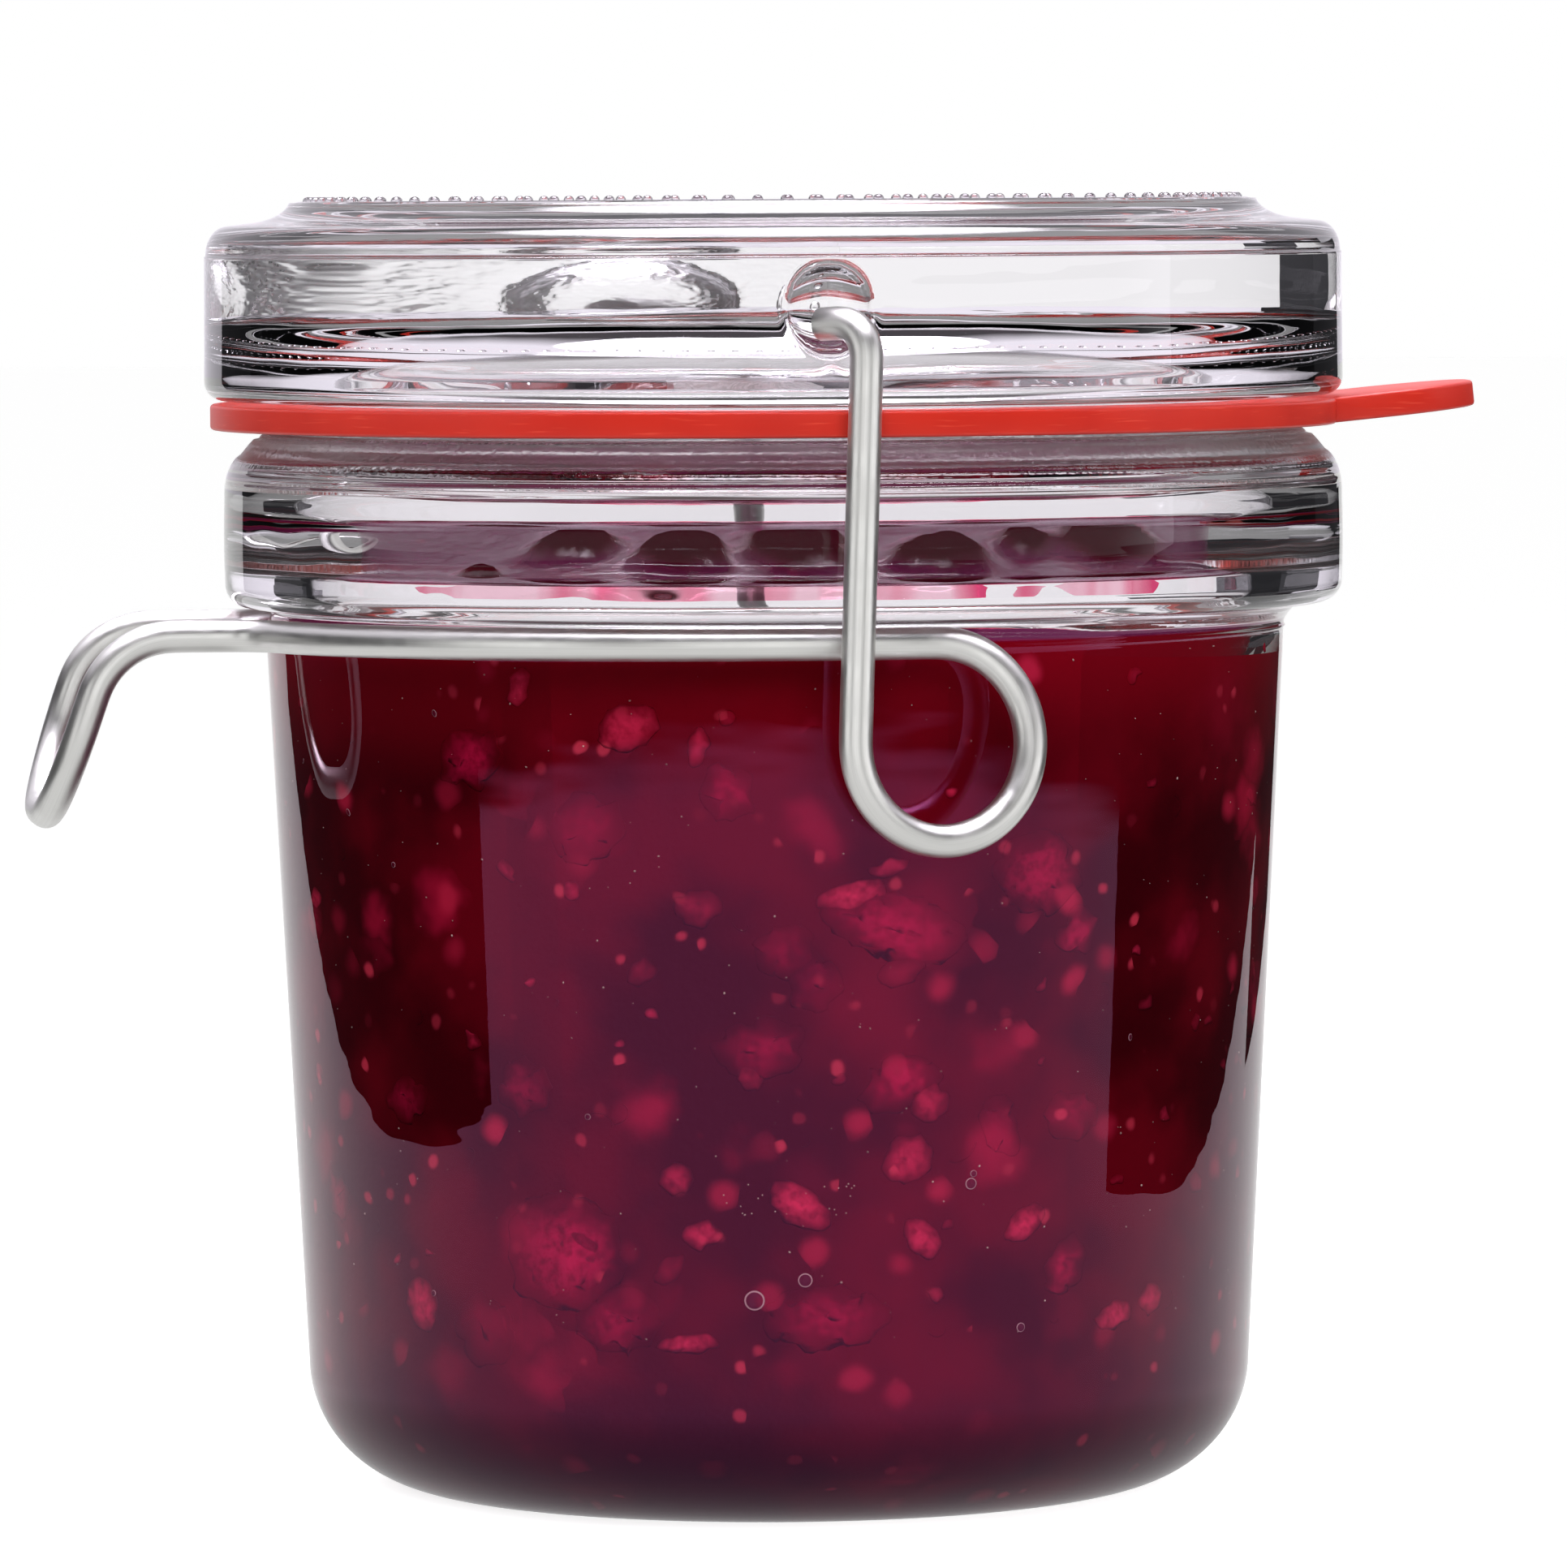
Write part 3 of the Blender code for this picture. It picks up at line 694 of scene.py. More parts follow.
# %% [markdown]
# ## The lid
# A thick disc of glass with a raised plateau, a shallow dome pressed into its underside, and a
# centring ring below. On each side a round dimple takes the wire's end. The dimples are pressed in
# by moving the side's points inwards, and the points stand closer together there, because a boolean
# cut would leave thin triangles that glass shows.

# %% Lid
LID_BOTTOM = 90.0
LID_TOP = 106.7
LID_RADIUS = 46.98
BEAD_HEIGHT = 0.38
PLATEAU_TOP = LID_TOP - BEAD_HEIGHT
BOSS_RADIUS = 38.7
BOSS_DEPTH = 1.7
HOLLOW_RADIUS = 37.0
HOLLOW_CORNER = 5.6
HOLLOW_WALL_TOP = 90.8
DOME_TOP = 97.4
DIMPLE_HEIGHT = 97.7
DIMPLE_RADIUS = 3.35
DIMPLE_DEPTH = 3.3
DIMPLE_RIM = 0.75  # width of the rounded rim round a dimple
CEILING_WAVE = 0.22  # how far the hollow's ceiling waves, in waves of 15 mm and of 3 mm
CEILING_RIPPLE = 0.03
DIMPLE_ROWS = 36  # rows of faces over a dimple's height
BOWL_SHARE = 0.86  # of a dimple's depth
RIM_SHARE = 0.14


def dense_round(half_width, fine, coarse):
    """Angles round the lid, close together near the two dimples on -Y and +Y."""
    quarter = []
    angle = 0.0
    while angle < math.pi / 2 - half_width - coarse:
        quarter.append(angle)
        angle += coarse
    steps = round((math.pi / 2 - angle) / fine)
    quarter += [angle + (math.pi / 2 - angle) * i / steps for i in range(steps)]
    half = quarter + [math.pi / 2] + [math.pi - a for a in quarter[:0:-1]]
    return half + [a + math.pi for a in half]


def lid_skin(point):
    """Presses the two dimples into the lid's side, and lets the hollow's ceiling wave a little."""
    radius = math.hypot(point.x, point.y)
    if radius > LID_RADIUS - 1.2 and abs(point.z - DIMPLE_HEIGHT) < DIMPLE_RADIUS + DIMPLE_RIM:
        off = math.hypot(point.x, point.z - DIMPLE_HEIGHT)
        if off < DIMPLE_RADIUS + DIMPLE_RIM:
            inner = min(off / DIMPLE_RADIUS, 1)
            bowl = math.sqrt(max(1 - inner**2.4, 0))
            rim = smooth((DIMPLE_RADIUS + DIMPLE_RIM - off) / (2 * DIMPLE_RIM))
            depth = DIMPLE_DEPTH * bowl * BOWL_SHARE + DIMPLE_DEPTH * RIM_SHARE * rim
            return Vector((point.x, point.y - math.copysign(depth, point.y), point.z))
    if LID_BOTTOM + 1 < point.z < DOME_TOP + 1 and radius < HOLLOW_RADIUS + 0.2:
        share = smooth((point.z - LID_BOTTOM - 1) / 2)
        wave = CEILING_WAVE * ripple(point, 15) + CEILING_RIPPLE * ripple(point, 3)
        return point + Vector((0, 0, share * wave))
    return point


def lid_profile():
    """The lid's closed outline, from the middle of its top over its side to its hollow's ceiling."""
    plateau = [(0, PLATEAU_TOP)] + line((4, PLATEAU_TOP), (38.4, PLATEAU_TOP), 8)
    edge = arc((39.0, PLATEAU_TOP - 0.5), (0.6, 0.5), 90, 35, 4)
    cove = arc((43.9, PLATEAU_TOP + 0.25), (4.1, 2.05), 190, 262, 9)
    shoulder = [(44.6, 104.38)] + arc((44.95, 101.9), (1.85, 2.42), 80, 0, 10)
    dimple_top = DIMPLE_HEIGHT + DIMPLE_RADIUS + DIMPLE_RIM
    dimple_foot = DIMPLE_HEIGHT - DIMPLE_RADIUS - DIMPLE_RIM
    side = line((46.8, 101.9), (46.9, dimple_top), 2)[1:]
    side += line((46.9, dimple_top), (46.95, dimple_foot), DIMPLE_ROWS)
    side += [(46.95, dimple_foot), (LID_RADIUS, 92.0)]
    foot = arc((LID_RADIUS - 1.6, LID_BOTTOM + 1.5), (1.6, 1.5), 0, -90, 8)
    under = line((44.8, LID_BOTTOM), (BOSS_RADIUS + 0.3, LID_BOTTOM), 3)
    boss = [(BOSS_RADIUS + 0.08, LID_BOTTOM - 0.1), (BOSS_RADIUS, LID_BOTTOM - 0.4)]
    boss += [(BOSS_RADIUS - 0.1, LID_BOTTOM - BOSS_DEPTH + 0.3)]
    boss += arc((HOLLOW_RADIUS + 0.95, LID_BOTTOM - BOSS_DEPTH + 0.4), (0.6, 0.4), 0, -180, 8)
    wall = line((HOLLOW_RADIUS + 0.1, LID_BOTTOM - 0.9), (HOLLOW_RADIUS, HOLLOW_WALL_TOP), 4)
    inner = HOLLOW_RADIUS - HOLLOW_CORNER
    corner = arc((inner, HOLLOW_WALL_TOP), (HOLLOW_CORNER, HOLLOW_CORNER), 0, 80, 14)
    dome_foot = HOLLOW_WALL_TOP + HOLLOW_CORNER
    dome = arc((0, dome_foot), (inner, DOME_TOP - dome_foot), 20, 88, 14)
    outside = plateau + edge + cove + shoulder + side + foot
    return outside + under + boss + wall + corner + dome + [(0, DOME_TOP)]


lid_angles = dense_round(math.radians(5.6), math.radians(0.28), math.radians(1.8))
lid = lathe("lid_glass", lid_profile(), lid_angles, lid_glass, move=lid_skin)
finished(lid, "lid")

# %% [markdown]
# ## The bead ring
# A ring of small pressed beads runs round the edge of the plateau. They repeat exactly, so Geometry
# Nodes place them: a circle of points, one small dome on each, made real so that it can be exported.

# %% Bead ring
BEAD_COUNT = 100
BEAD_RING_RADIUS = 38.3
BEAD_WIDTH = 0.9


def realised(name, tree, values, base=None):
    """Runs a node tree on an object, sets its inputs by identifier, and keeps the result as a mesh."""
    host = new_object(name + "_host", base or bpy.data.meshes.new(name + "_host"))
    modifier = host.modifiers.new("Make", "NODES")
    modifier.node_group = tree
    names = {item.name: item.identifier for item in tree.interface.items_tree if item.in_out == "INPUT"}
    for key, value in values.items():
        modifier[names[key]] = value
    graph = bpy.context.evaluated_depsgraph_get()
    mesh = bpy.data.meshes.new_from_object(host.evaluated_get(graph))
    host.modifiers.clear()
    bpy.data.objects.remove(host)
    mesh.name = name
    return new_object(name, mesh)


def new_tree(name, sockets):
    """A Geometry Nodes tree with a geometry input and output, and the named inputs given."""
    tree = bpy.data.node_groups.new(name, "GeometryNodeTree")
    tree.interface.new_socket("Geometry", in_out="INPUT", socket_type="NodeSocketGeometry")
    for label, (kind, value) in sockets.items():
        socket = tree.interface.new_socket(label, in_out="INPUT", socket_type=kind)
        if value is not None:
            socket.default_value = value
    tree.interface.new_socket("Geometry", in_out="OUTPUT", socket_type="NodeSocketGeometry")
    return tree, add_node(tree, "NodeGroupInput"), add_node(tree, "NodeGroupOutput")


def end_tree(tree, output, geometry, finish):
    """Realises the instances and gives them their finish, as the last two steps of a tree."""
    real = add_node(tree, "GeometryNodeRealizeInstances", {"Geometry": geometry})
    shaded = add_node(tree, "GeometryNodeSetShadeSmooth", {"Geometry": real})
    dressed = add_node(tree, "GeometryNodeSetMaterial", {"Geometry": shaded, "Material": finish})
    tree.links.new(dressed.outputs[0], output.inputs[0])


def bead_tree():
    """A ring of domes, from the number, the sizes and the height given as its inputs."""
    sockets = {
        "Count": ("NodeSocketInt", 10),
        "Ring Radius": ("NodeSocketFloat", 0.01),
        "Bead Width": ("NodeSocketFloat", 0.001),
        "Bead Height": ("NodeSocketFloat", 0.001),
        "Level": ("NodeSocketFloat", 0.0),
    }
    tree, given, output = new_tree("bead_ring", sockets)
    ring = add_node(
        tree, "GeometryNodeMeshCircle",
        {"Vertices": given.outputs["Count"], "Radius": given.outputs["Ring Radius"]},
    )
    dome = add_node(tree, "GeometryNodeMeshUVSphere", {"Segments": 12, "Rings": 8, "Radius": 1.0})
    half = add_node(tree, "ShaderNodeMath", {0: given.outputs["Bead Width"], 1: 0.5}, operation="MULTIPLY")
    size = add_node(tree, "ShaderNodeCombineXYZ", {"X": half, "Y": half, "Z": given.outputs["Bead Height"]})
    placed = add_node(
        tree, "GeometryNodeInstanceOnPoints", {"Points": ring, "Instance": dome, "Scale": size}
    )
    lift = add_node(tree, "ShaderNodeCombineXYZ", {"Z": given.outputs["Level"]})
    raised = add_node(tree, "GeometryNodeSetPosition", {"Geometry": placed, "Offset": lift})
    end_tree(tree, output, raised, lid_glass)
    return tree


beads = realised(
    "lid_beads", bead_tree(),
    {
        "Count": BEAD_COUNT, "Ring Radius": BEAD_RING_RADIUS * MM, "Bead Width": BEAD_WIDTH * MM,
        "Bead Height": BEAD_HEIGHT * MM, "Level": PLATEAU_TOP * MM,
    },
)
finished(beads, None)

# %% [markdown]
# ## The gasket
# A flat ring of orange red silicone rubber with a pull tab. Real rubber edges are never sharp, so
# ring and tab get a small bevel before they are joined.

# %% Gasket rubber
def silicone_rubber():
    """Moulded silicone: satin, slightly soft to light, with fine scuffs and dust from handling."""
    made, tree = new_material("orange_red_silicone_rubber")
    where = add_node(tree, "ShaderNodeTexCoord").outputs["Object"]
    # Clouds of about 6 mm shift the red a little.
    clouds = add_node(tree, "ShaderNodeTexNoise", {"Vector": where, "Scale": 160, "Detail": 2.0})
    # Scuffs are 0.2 mm high and about 4 mm long.
    along = add_node(tree, "ShaderNodeMapping", {"Vector": where, "Scale": (260, 260, 5200)})
    scuffs = add_node(tree, "ShaderNodeTexNoise", {"Vector": along, "Scale": 1.0, "Detail": 2.0})
    colour = add_node(
        tree, "ShaderNodeMix",
        {"Factor": clouds, "A": hex_to_linear("a0190f"), "B": hex_to_linear("b32617")},
        data_type="RGBA",
    )
    pale = add_node(
        tree, "ShaderNodeMapRange", {"Value": scuffs, "From Min": 0.62, "From Max": 0.8, "To Max": 0.3}
    )
    worn = add_node(
        tree, "ShaderNodeMix", {"Factor": pale, "A": colour, "B": hex_to_linear("e8604a")}, data_type="RGBA"
    )
    bump = add_node(tree, "ShaderNodeBump", {"Height": scuffs, "Distance": 0.01 * MM, "Strength": 0.6})
    shader = add_node(
        tree, "ShaderNodeBsdfPrincipled",
        {
            "Base Color": worn, "Roughness": 0.42, "IOR": 1.43, "Subsurface Weight": 0.15,
            "Subsurface Radius": (0.9 * MM, 0.2 * MM, 0.1 * MM), "Subsurface Scale": 1.0, "Normal": bump,
        },
    )
    add_node(tree, "ShaderNodeOutputMaterial", {"Surface": shader})
    return made


rubber = silicone_rubber()
print("rubber ready")

# %% Gasket
GASKET_INNER = 39.0
GASKET_OUTER = 46.5
GASKET_THICKNESS = 2.1
GASKET_BOTTOM = 87.6
TAB_HINGE = 44.6
TAB_REACH = 58.4
TAB_WIDTH = 18.5
TAB_CORNER = 8.5
TAB_LIFT = math.radians(5.6)
EDGE_ROUND = 0.3
CREASE = math.radians(35)  # rubber edges sharper than this stay crisp in the shading


def gasket_profile():
    """The ring's section, with its four edges rounded."""
    low, high, edge = GASKET_BOTTOM, GASKET_BOTTOM + GASKET_THICKNESS, EDGE_ROUND
    points = arc((GASKET_OUTER - edge, high - edge), (edge, edge), 90, 0, 4)
    points += arc((GASKET_OUTER - edge, low + edge), (edge, edge), 0, -90, 4)
    points += arc((GASKET_INNER + edge, low + edge), (edge, edge), -90, -180, 3)
    points += arc((GASKET_INNER + edge, high - edge), (edge, edge), 180, 90, 3)
    return points


def tab_outline():
    """The tongue seen from above, from the hinge round its two corners and back."""
    reach, half = TAB_REACH - TAB_HINGE, TAB_WIDTH / 2
    outline = [(0, -half)]
    outline += arc((reach - TAB_CORNER, -half + TAB_CORNER), (TAB_CORNER, TAB_CORNER), -90, 0, 14)
    outline += arc((reach - TAB_CORNER, half - TAB_CORNER), (TAB_CORNER, TAB_CORNER), 0, 90, 14)
    return outline + [(0, half)]


def make_tab():
    """The tongue with its rounded corners, bevelled, then tilted up from the gasket's edge."""
    shape = bmesh.new()
    face = shape.faces.new([shape.verts.new((x * MM, y * MM, 0)) for x, y in tab_outline()])
    lifted = bmesh.ops.extrude_face_region(shape, geom=[face])["geom"]
    raised = [item for item in lifted if isinstance(item, bmesh.types.BMVert)]
    bmesh.ops.translate(shape, verts=raised, vec=Vector((0, 0, GASKET_THICKNESS * MM)))
    bmesh.ops.recalc_face_normals(shape, faces=shape.faces)
    rims = [edge for edge in shape.edges if abs(edge.verts[0].co.z - edge.verts[1].co.z) < 1e-6]
    bmesh.ops.bevel(shape, geom=rims, offset=EDGE_ROUND * MM, segments=3, profile=0.5, affect="EDGES")
    place = Matrix.Translation(Vector((TAB_HINGE, 0, GASKET_BOTTOM)) * MM)
    bmesh.ops.transform(shape, matrix=place @ Matrix.Rotation(-TAB_LIFT, 4, "Y"), verts=shape.verts)
    mesh = bpy.data.meshes.new("gasket_tab")
    shape.to_mesh(mesh)
    shape.free()
    return new_object("gasket_tab", mesh)


def joined(name, base, other, finish):
    """The union of two closed pieces as one new object, with both of them removed."""
    union = base.modifiers.new("Join", "BOOLEAN")
    union.operation = "UNION"
    union.object = other
    graph = bpy.context.evaluated_depsgraph_get()
    mesh = bpy.data.meshes.new_from_object(base.evaluated_get(graph))
    for obj in (base, other):
        bpy.data.objects.remove(obj)
    mesh.name = name
    mesh.materials.clear()
    mesh.materials.append(finish)
    mesh.polygons.foreach_set("material_index", [0] * len(mesh.polygons))
    mesh.shade_smooth()
    mesh.set_sharp_from_angle(angle=CREASE)
    return new_object(name, mesh)


ring = lathe("gasket_ring_base", gasket_profile(), ROUND, rubber, closed=True)
gasket = joined("gasket_rubber", ring, make_tab(), rubber)
finished(gasket, "gasket")

# %% [markdown]
# ## The wire clip
# One length of stainless spring wire: from the dimple it bends down as the shank, turns round in a
# spring loop, follows the neck under the collar and ends in the handle, where the other half meets
# it. Geometry Nodes sweep a circle along that path and keep on each point how far along the wire
# and how far round it the point lies, which the finish uses to lay its drawing marks.

# %% Wire path
WIRE_RADIUS = 1.325
TIP = Vector((-0.5, -45.3, 96.5))
SHANK_TOP = Vector((2.8, -48.6, 96.8))
LOOP_CENTRE_X = 8.8
LOOP_CENTRE_Z = 63.6
LOOP_HALF_WIDTH = 7.15
LOOP_HALF_HEIGHT = 7.75
NECK_WIRE_RADIUS = 43.95
NECK_WIRE_FRONT = math.radians(280)  # from here round to its end the neck wire falls to the arm
NECK_WIRE_END = math.radians(203)
ARM_HEIGHT = 71.1
ARM_SPREAD = 11.0
HANDLE_REACH = 55.6
HANDLE_SKEW = 0.5
HANDLE_DROP = 14.7
HANDLE_SLOPE = math.radians(18.5)
TIP_BEND = 2.5
EXIT_BEND = 4.5
ARM_BEND = 6.8
HANDLE_BEND = 9.0
LOOP_STEPS = 60
NECK_STEPS = 60
SMOOTHINGS = 6
STEP_MM = 0.35  # distance between points in the finished path


def bend(before, corner, after, radius, count):
    """Points of a round bend of a radius at a corner between two straight runs."""
    back = (before - corner).normalized()
    ahead = (after - corner).normalized()
    half_turn = (math.pi - back.angle(ahead)) / 2
    centre = corner + (back + ahead).normalized() * (radius / math.cos(half_turn))
    start = corner + back * radius * math.tan(half_turn) - centre
    turn_axis = start.cross(corner + ahead * radius * math.tan(half_turn) - centre).normalized()
    steps = [Matrix.Rotation(2 * half_turn * i / count, 3, turn_axis) for i in range(count + 1)]
    return [centre + step @ start for step in steps]


def neck_point(angle):
    """The wire's centre line under the collar, level at the front and falling a little to the arm."""
    share = min(max((NECK_WIRE_FRONT - angle) / (NECK_WIRE_FRONT - NECK_WIRE_END), 0), 1)
    height = LOOP_CENTRE_Z + LOOP_HALF_HEIGHT
    height += (ARM_HEIGHT - height) * share * share
    return around_axis(NECK_WIRE_RADIUS, angle, height)


def half_clip(skew):
    """The centre line from the wire's end in its dimple to the middle of the handle, on -Y."""
    shank_foot = Vector((LOOP_CENTRE_X - LOOP_HALF_WIDTH, SHANK_TOP.y, LOOP_CENTRE_Z))
    points = [TIP] + bend(TIP, SHANK_TOP, shank_foot, TIP_BEND, 12)
    points += [SHANK_TOP.lerp(shank_foot, i / 20) for i in range(4, 20)]
    loop_end = -math.sqrt(NECK_WIRE_RADIUS**2 - LOOP_CENTRE_X**2)
    for i in range(LOOP_STEPS + 1):
        angle = math.radians(180 + 270 * i / LOOP_STEPS)
        depth = SHANK_TOP.y + (loop_end - SHANK_TOP.y) * smooth(i / LOOP_STEPS)
        across = LOOP_CENTRE_X + LOOP_HALF_WIDTH * math.cos(angle)
        points.append(Vector((across, depth, LOOP_CENTRE_Z + LOOP_HALF_HEIGHT * math.sin(angle))))
    start = 2 * math.pi - math.acos(LOOP_CENTRE_X / NECK_WIRE_RADIUS)
    turns = [start + (NECK_WIRE_END - start) * i / NECK_STEPS for i in range(1, NECK_STEPS + 1)]
    points += [neck_point(turn) for turn in turns]
    leaving = points[-1]
    heading = Vector((math.sin(NECK_WIRE_END), -math.cos(NECK_WIRE_END), 0))
    leave_corner = leaving + heading * ((-ARM_SPREAD - leaving.y) / heading.y)
    reach = HANDLE_REACH + skew
    arm_corner = Vector((-reach, -ARM_SPREAD, ARM_HEIGHT))
    foot_x = -reach - HANDLE_DROP * math.tan(HANDLE_SLOPE)
    handle_corner = Vector((foot_x, -ARM_SPREAD, ARM_HEIGHT - HANDLE_DROP))
    handle_middle = Vector((foot_x + skew, 0, ARM_HEIGHT - HANDLE_DROP))
    points += bend(leaving, leave_corner, arm_corner, EXIT_BEND, 14)
    points += bend(leave_corner, arm_corner, handle_corner, ARM_BEND, 18)
    points += bend(arm_corner, handle_corner, handle_middle, HANDLE_BEND, 24)
    return points


def evenly(points, step):
    """Points at even distances along a path, slightly smoothed as a cold bent wire is."""
    spaced = [points[0]]
    for before, after in zip(points, points[1:]):
        while (after - spaced[-1]).length > step:
            spaced.append(spaced[-1] + (after - spaced[-1]).normalized() * step)
    spaced.append(points[-1])
    for _ in range(SMOOTHINGS):
        middles = [(a + 2 * b + c) / 4 for a, b, c in zip(spaced, spaced[1:], spaced[2:])]
        spaced = [spaced[0]] + middles + [spaced[-1]]
    return spaced


near_half = half_clip(-HANDLE_SKEW)
far_half = [Vector((point.x, -point.y, point.z)) for point in half_clip(HANDLE_SKEW)]
wire_path = evenly(near_half + far_half[::-1], STEP_MM)
print("wire of", round(STEP_MM * len(wire_path)), "mm,", len(wire_path), "points")


# %% Wire finish
def drawn_steel():
    """Cold drawn stainless wire: bright satin, with fine lines along it and a few shallow nicks."""
    made, tree = new_material("drawn_stainless_wire")
    along = add_node(tree, "ShaderNodeAttribute", attribute_name="along").outputs["Fac"]
    around = add_node(tree, "ShaderNodeAttribute", attribute_name="around").outputs["Fac"]
    # Drawing lines: 0.12 mm apart round the wire and 20 mm long.
    turned = add_node(tree, "ShaderNodeMath", {0: around, 1: 70.0}, operation="MULTIPLY")
    run = add_node(tree, "ShaderNodeMath", {0: along, 1: 50.0}, operation="MULTIPLY")
    lines_at = add_node(tree, "ShaderNodeCombineXYZ", {"X": turned, "Y": run})
    lines = add_node(tree, "ShaderNodeTexNoise", {"Vector": lines_at, "Scale": 1.0, "Detail": 2.0})
    where = add_node(tree, "ShaderNodeTexCoord").outputs["Object"]
    # Handling marks of about 3 mm, and nicks 1 mm wide in one of five cells of 2.4 mm.
    patches = add_node(
        tree, "ShaderNodeTexNoise", {"Vector": where, "Scale": 350, "Detail": 3.0, "Roughness": 0.6}
    )
    nicks = add_node(tree, "ShaderNodeTexVoronoi", {"Vector": where, "Scale": 420})
    nick_depth = add_node(
        tree, "ShaderNodeMapRange",
        {"Value": nicks.outputs["Distance"], "From Max": 0.2, "To Min": -1.0, "To Max": 0.0},
    )
    chosen = add_node(tree, "ShaderNodeSeparateColor", {"Color": nicks.outputs["Color"]})
    rare = add_node(tree, "ShaderNodeMath", {0: chosen.outputs["Red"], 1: 0.82}, operation="GREATER_THAN")
    few = add_node(tree, "ShaderNodeMath", {0: nick_depth, 1: rare}, operation="MULTIPLY")
    roughness = add_node(
        tree, "ShaderNodeMapRange",
        {"Value": patches, "From Min": 0.3, "From Max": 0.75, "To Min": 0.32, "To Max": 0.46},
    )
    colour = add_node(
        tree, "ShaderNodeMix",
        {"Factor": lines, "A": hex_to_linear("c2c1be"), "B": hex_to_linear("dcdcda")},
        data_type="RGBA",
    )
    line_bump = add_node(tree, "ShaderNodeBump", {"Height": lines, "Distance": 0.004 * MM, "Strength": 0.5})
    nick_bump = add_node(
        tree, "ShaderNodeBump", {"Height": few, "Distance": 0.03 * MM, "Strength": 0.8, "Normal": line_bump}
    )
    shader = add_node(
        tree, "ShaderNodeBsdfPrincipled",
        {"Base Color": colour, "Metallic": 1.0, "Roughness": roughness, "Normal": nick_bump},
    )
    add_node(tree, "ShaderNodeOutputMaterial", {"Surface": shader})
    return made


steel = drawn_steel()
print("wire radius", WIRE_RADIUS, "mm")


# %% Wire sweep
def sweep_tree():
    """Sweeps a circle along the path and keeps how far along and how far round each point is."""
    tree, given, output = new_tree("wire_sweep", {"Radius": ("NodeSocketFloat", 0.001)})
    path = add_node(tree, "GeometryNodeMeshToCurve", {"Mesh": given.outputs["Geometry"]})
    spline = add_node(tree, "GeometryNodeSplineParameter")
    marked = add_node(
        tree, "GeometryNodeStoreNamedAttribute",
        {"Geometry": path, "Name": "along", "Value": spline.outputs["Length"]},
        data_type="FLOAT", domain="POINT",
    )
    circle = add_node(
        tree, "GeometryNodeCurvePrimitiveCircle", {"Resolution": 28, "Radius": given.outputs["Radius"]}
    )
    round_about = add_node(
        tree, "GeometryNodeStoreNamedAttribute",
        {"Geometry": circle, "Name": "around", "Value": spline.outputs["Factor"]},
        data_type="FLOAT", domain="POINT",
    )
    swept = add_node(
        tree, "GeometryNodeCurveToMesh", {"Curve": marked, "Profile Curve": round_about, "Fill Caps": True}
    )
    end_tree(tree, output, swept, steel)
    return tree


path_mesh = bpy.data.meshes.new("wire_path")
path_edges = [(i, i + 1) for i in range(len(wire_path) - 1)]
path_mesh.from_pydata([point * MM for point in wire_path], path_edges, [])
wire = realised("clip_wire", sweep_tree(), {"Radius": WIRE_RADIUS * MM}, path_mesh)
wire_only.objects.link(wire)
finished(wire, "wire_clip")

# %% [markdown]
# ## The jam
# Set jam of dark red fruit. Light goes a few millimetres in, so what lies near the glass is sharp and
# what lies deeper is a soft glow. The body is one closed piece that reaches just into the glass, so
# no air shows between them; its own colours carry the soft glow, and the fruit near the glass
# is made as real pieces.

# %% Jam finish
JAM_WAVE = 0.12  # how far the open top waves, in waves of 14 mm and of 4 mm
JAM_RIPPLE = 0.04
CREEP = 0.7  # how far the jam creeps up the wall
INTO_GLASS = 0.15
PAINTED_LIGHT_FROM = 58  # above this height the jam's colour is painted lighter, as painted light from the open top
LAYERS = (  # size in mm, share of cells, softness, seed and colour of each layer of lumps
    (14.0, 0.42, 0.46, 3.1, "7c0a22"),
    (7.0, 0.26, 0.42, 11.7, "9a1030"),
    (3.4, 0.14, 0.36, 23.9, "a81a38"),
    (1.5, 0.06, 0.30, 37.3, "b02a40"),
)
SMALL_LUMP = 5  # layers below this size are torn less
# Fruit that swims at the top: how far right and how far back on the view, size and height, in mm.
TOP_FRUIT = (
    (-24.5, -16.0, 2.6, 0.9),
    (-17.2, -11.0, 5.0, 1.5),
    (-8.2, -15.0, 5.4, 1.7),
    (1.0, -13.0, 7.0, 1.6),
    (12.9, -14.0, 5.6, 1.7),
    (20.0, -10.0, 3.6, 1.1),
    (27.5, -10.0, 6.0, 0.8),
    (-24.0, 6.0, 6.0, 1.0),
    (-9.0, 12.0, 7.0, 1.2),
    (8.0, 6.0, 5.0, 0.8),
    (17.0, 15.0, 6.5, 1.1),
    (-4.0, 27.0, 6.0, 1.0),
    (-21.0, 22.0, 5.0, 0.8),
)


def blurred_lumps(tree, where, size, share, soft, seed):
    """Soft lumps in a share of the cells of a size in millimetres, from 0 to 1."""
    shifted = add_node(
        tree, "ShaderNodeVectorMath", {0: where, 1: (seed, seed * 1.7, seed * 2.3)}, operation="ADD"
    )
    cells = add_node(tree, "ShaderNodeTexVoronoi", {"Vector": shifted, "Scale": 1.0 / size})
    falloff = add_node(
        tree, "ShaderNodeMapRange",
        {"Value": cells.outputs["Distance"], "From Min": 0.5, "From Max": 0.5 - soft},
        interpolation_type="SMOOTHSTEP",
    )
    chance = add_node(tree, "ShaderNodeSeparateColor", {"Color": cells.outputs["Color"]})
    strength = add_node(tree, "ShaderNodeMapRange", {"Value": chance.outputs["Red"], "From Min": 1 - share})
    return add_node(tree, "ShaderNodeMath", {0: falloff, 1: strength}, operation="MULTIPLY")


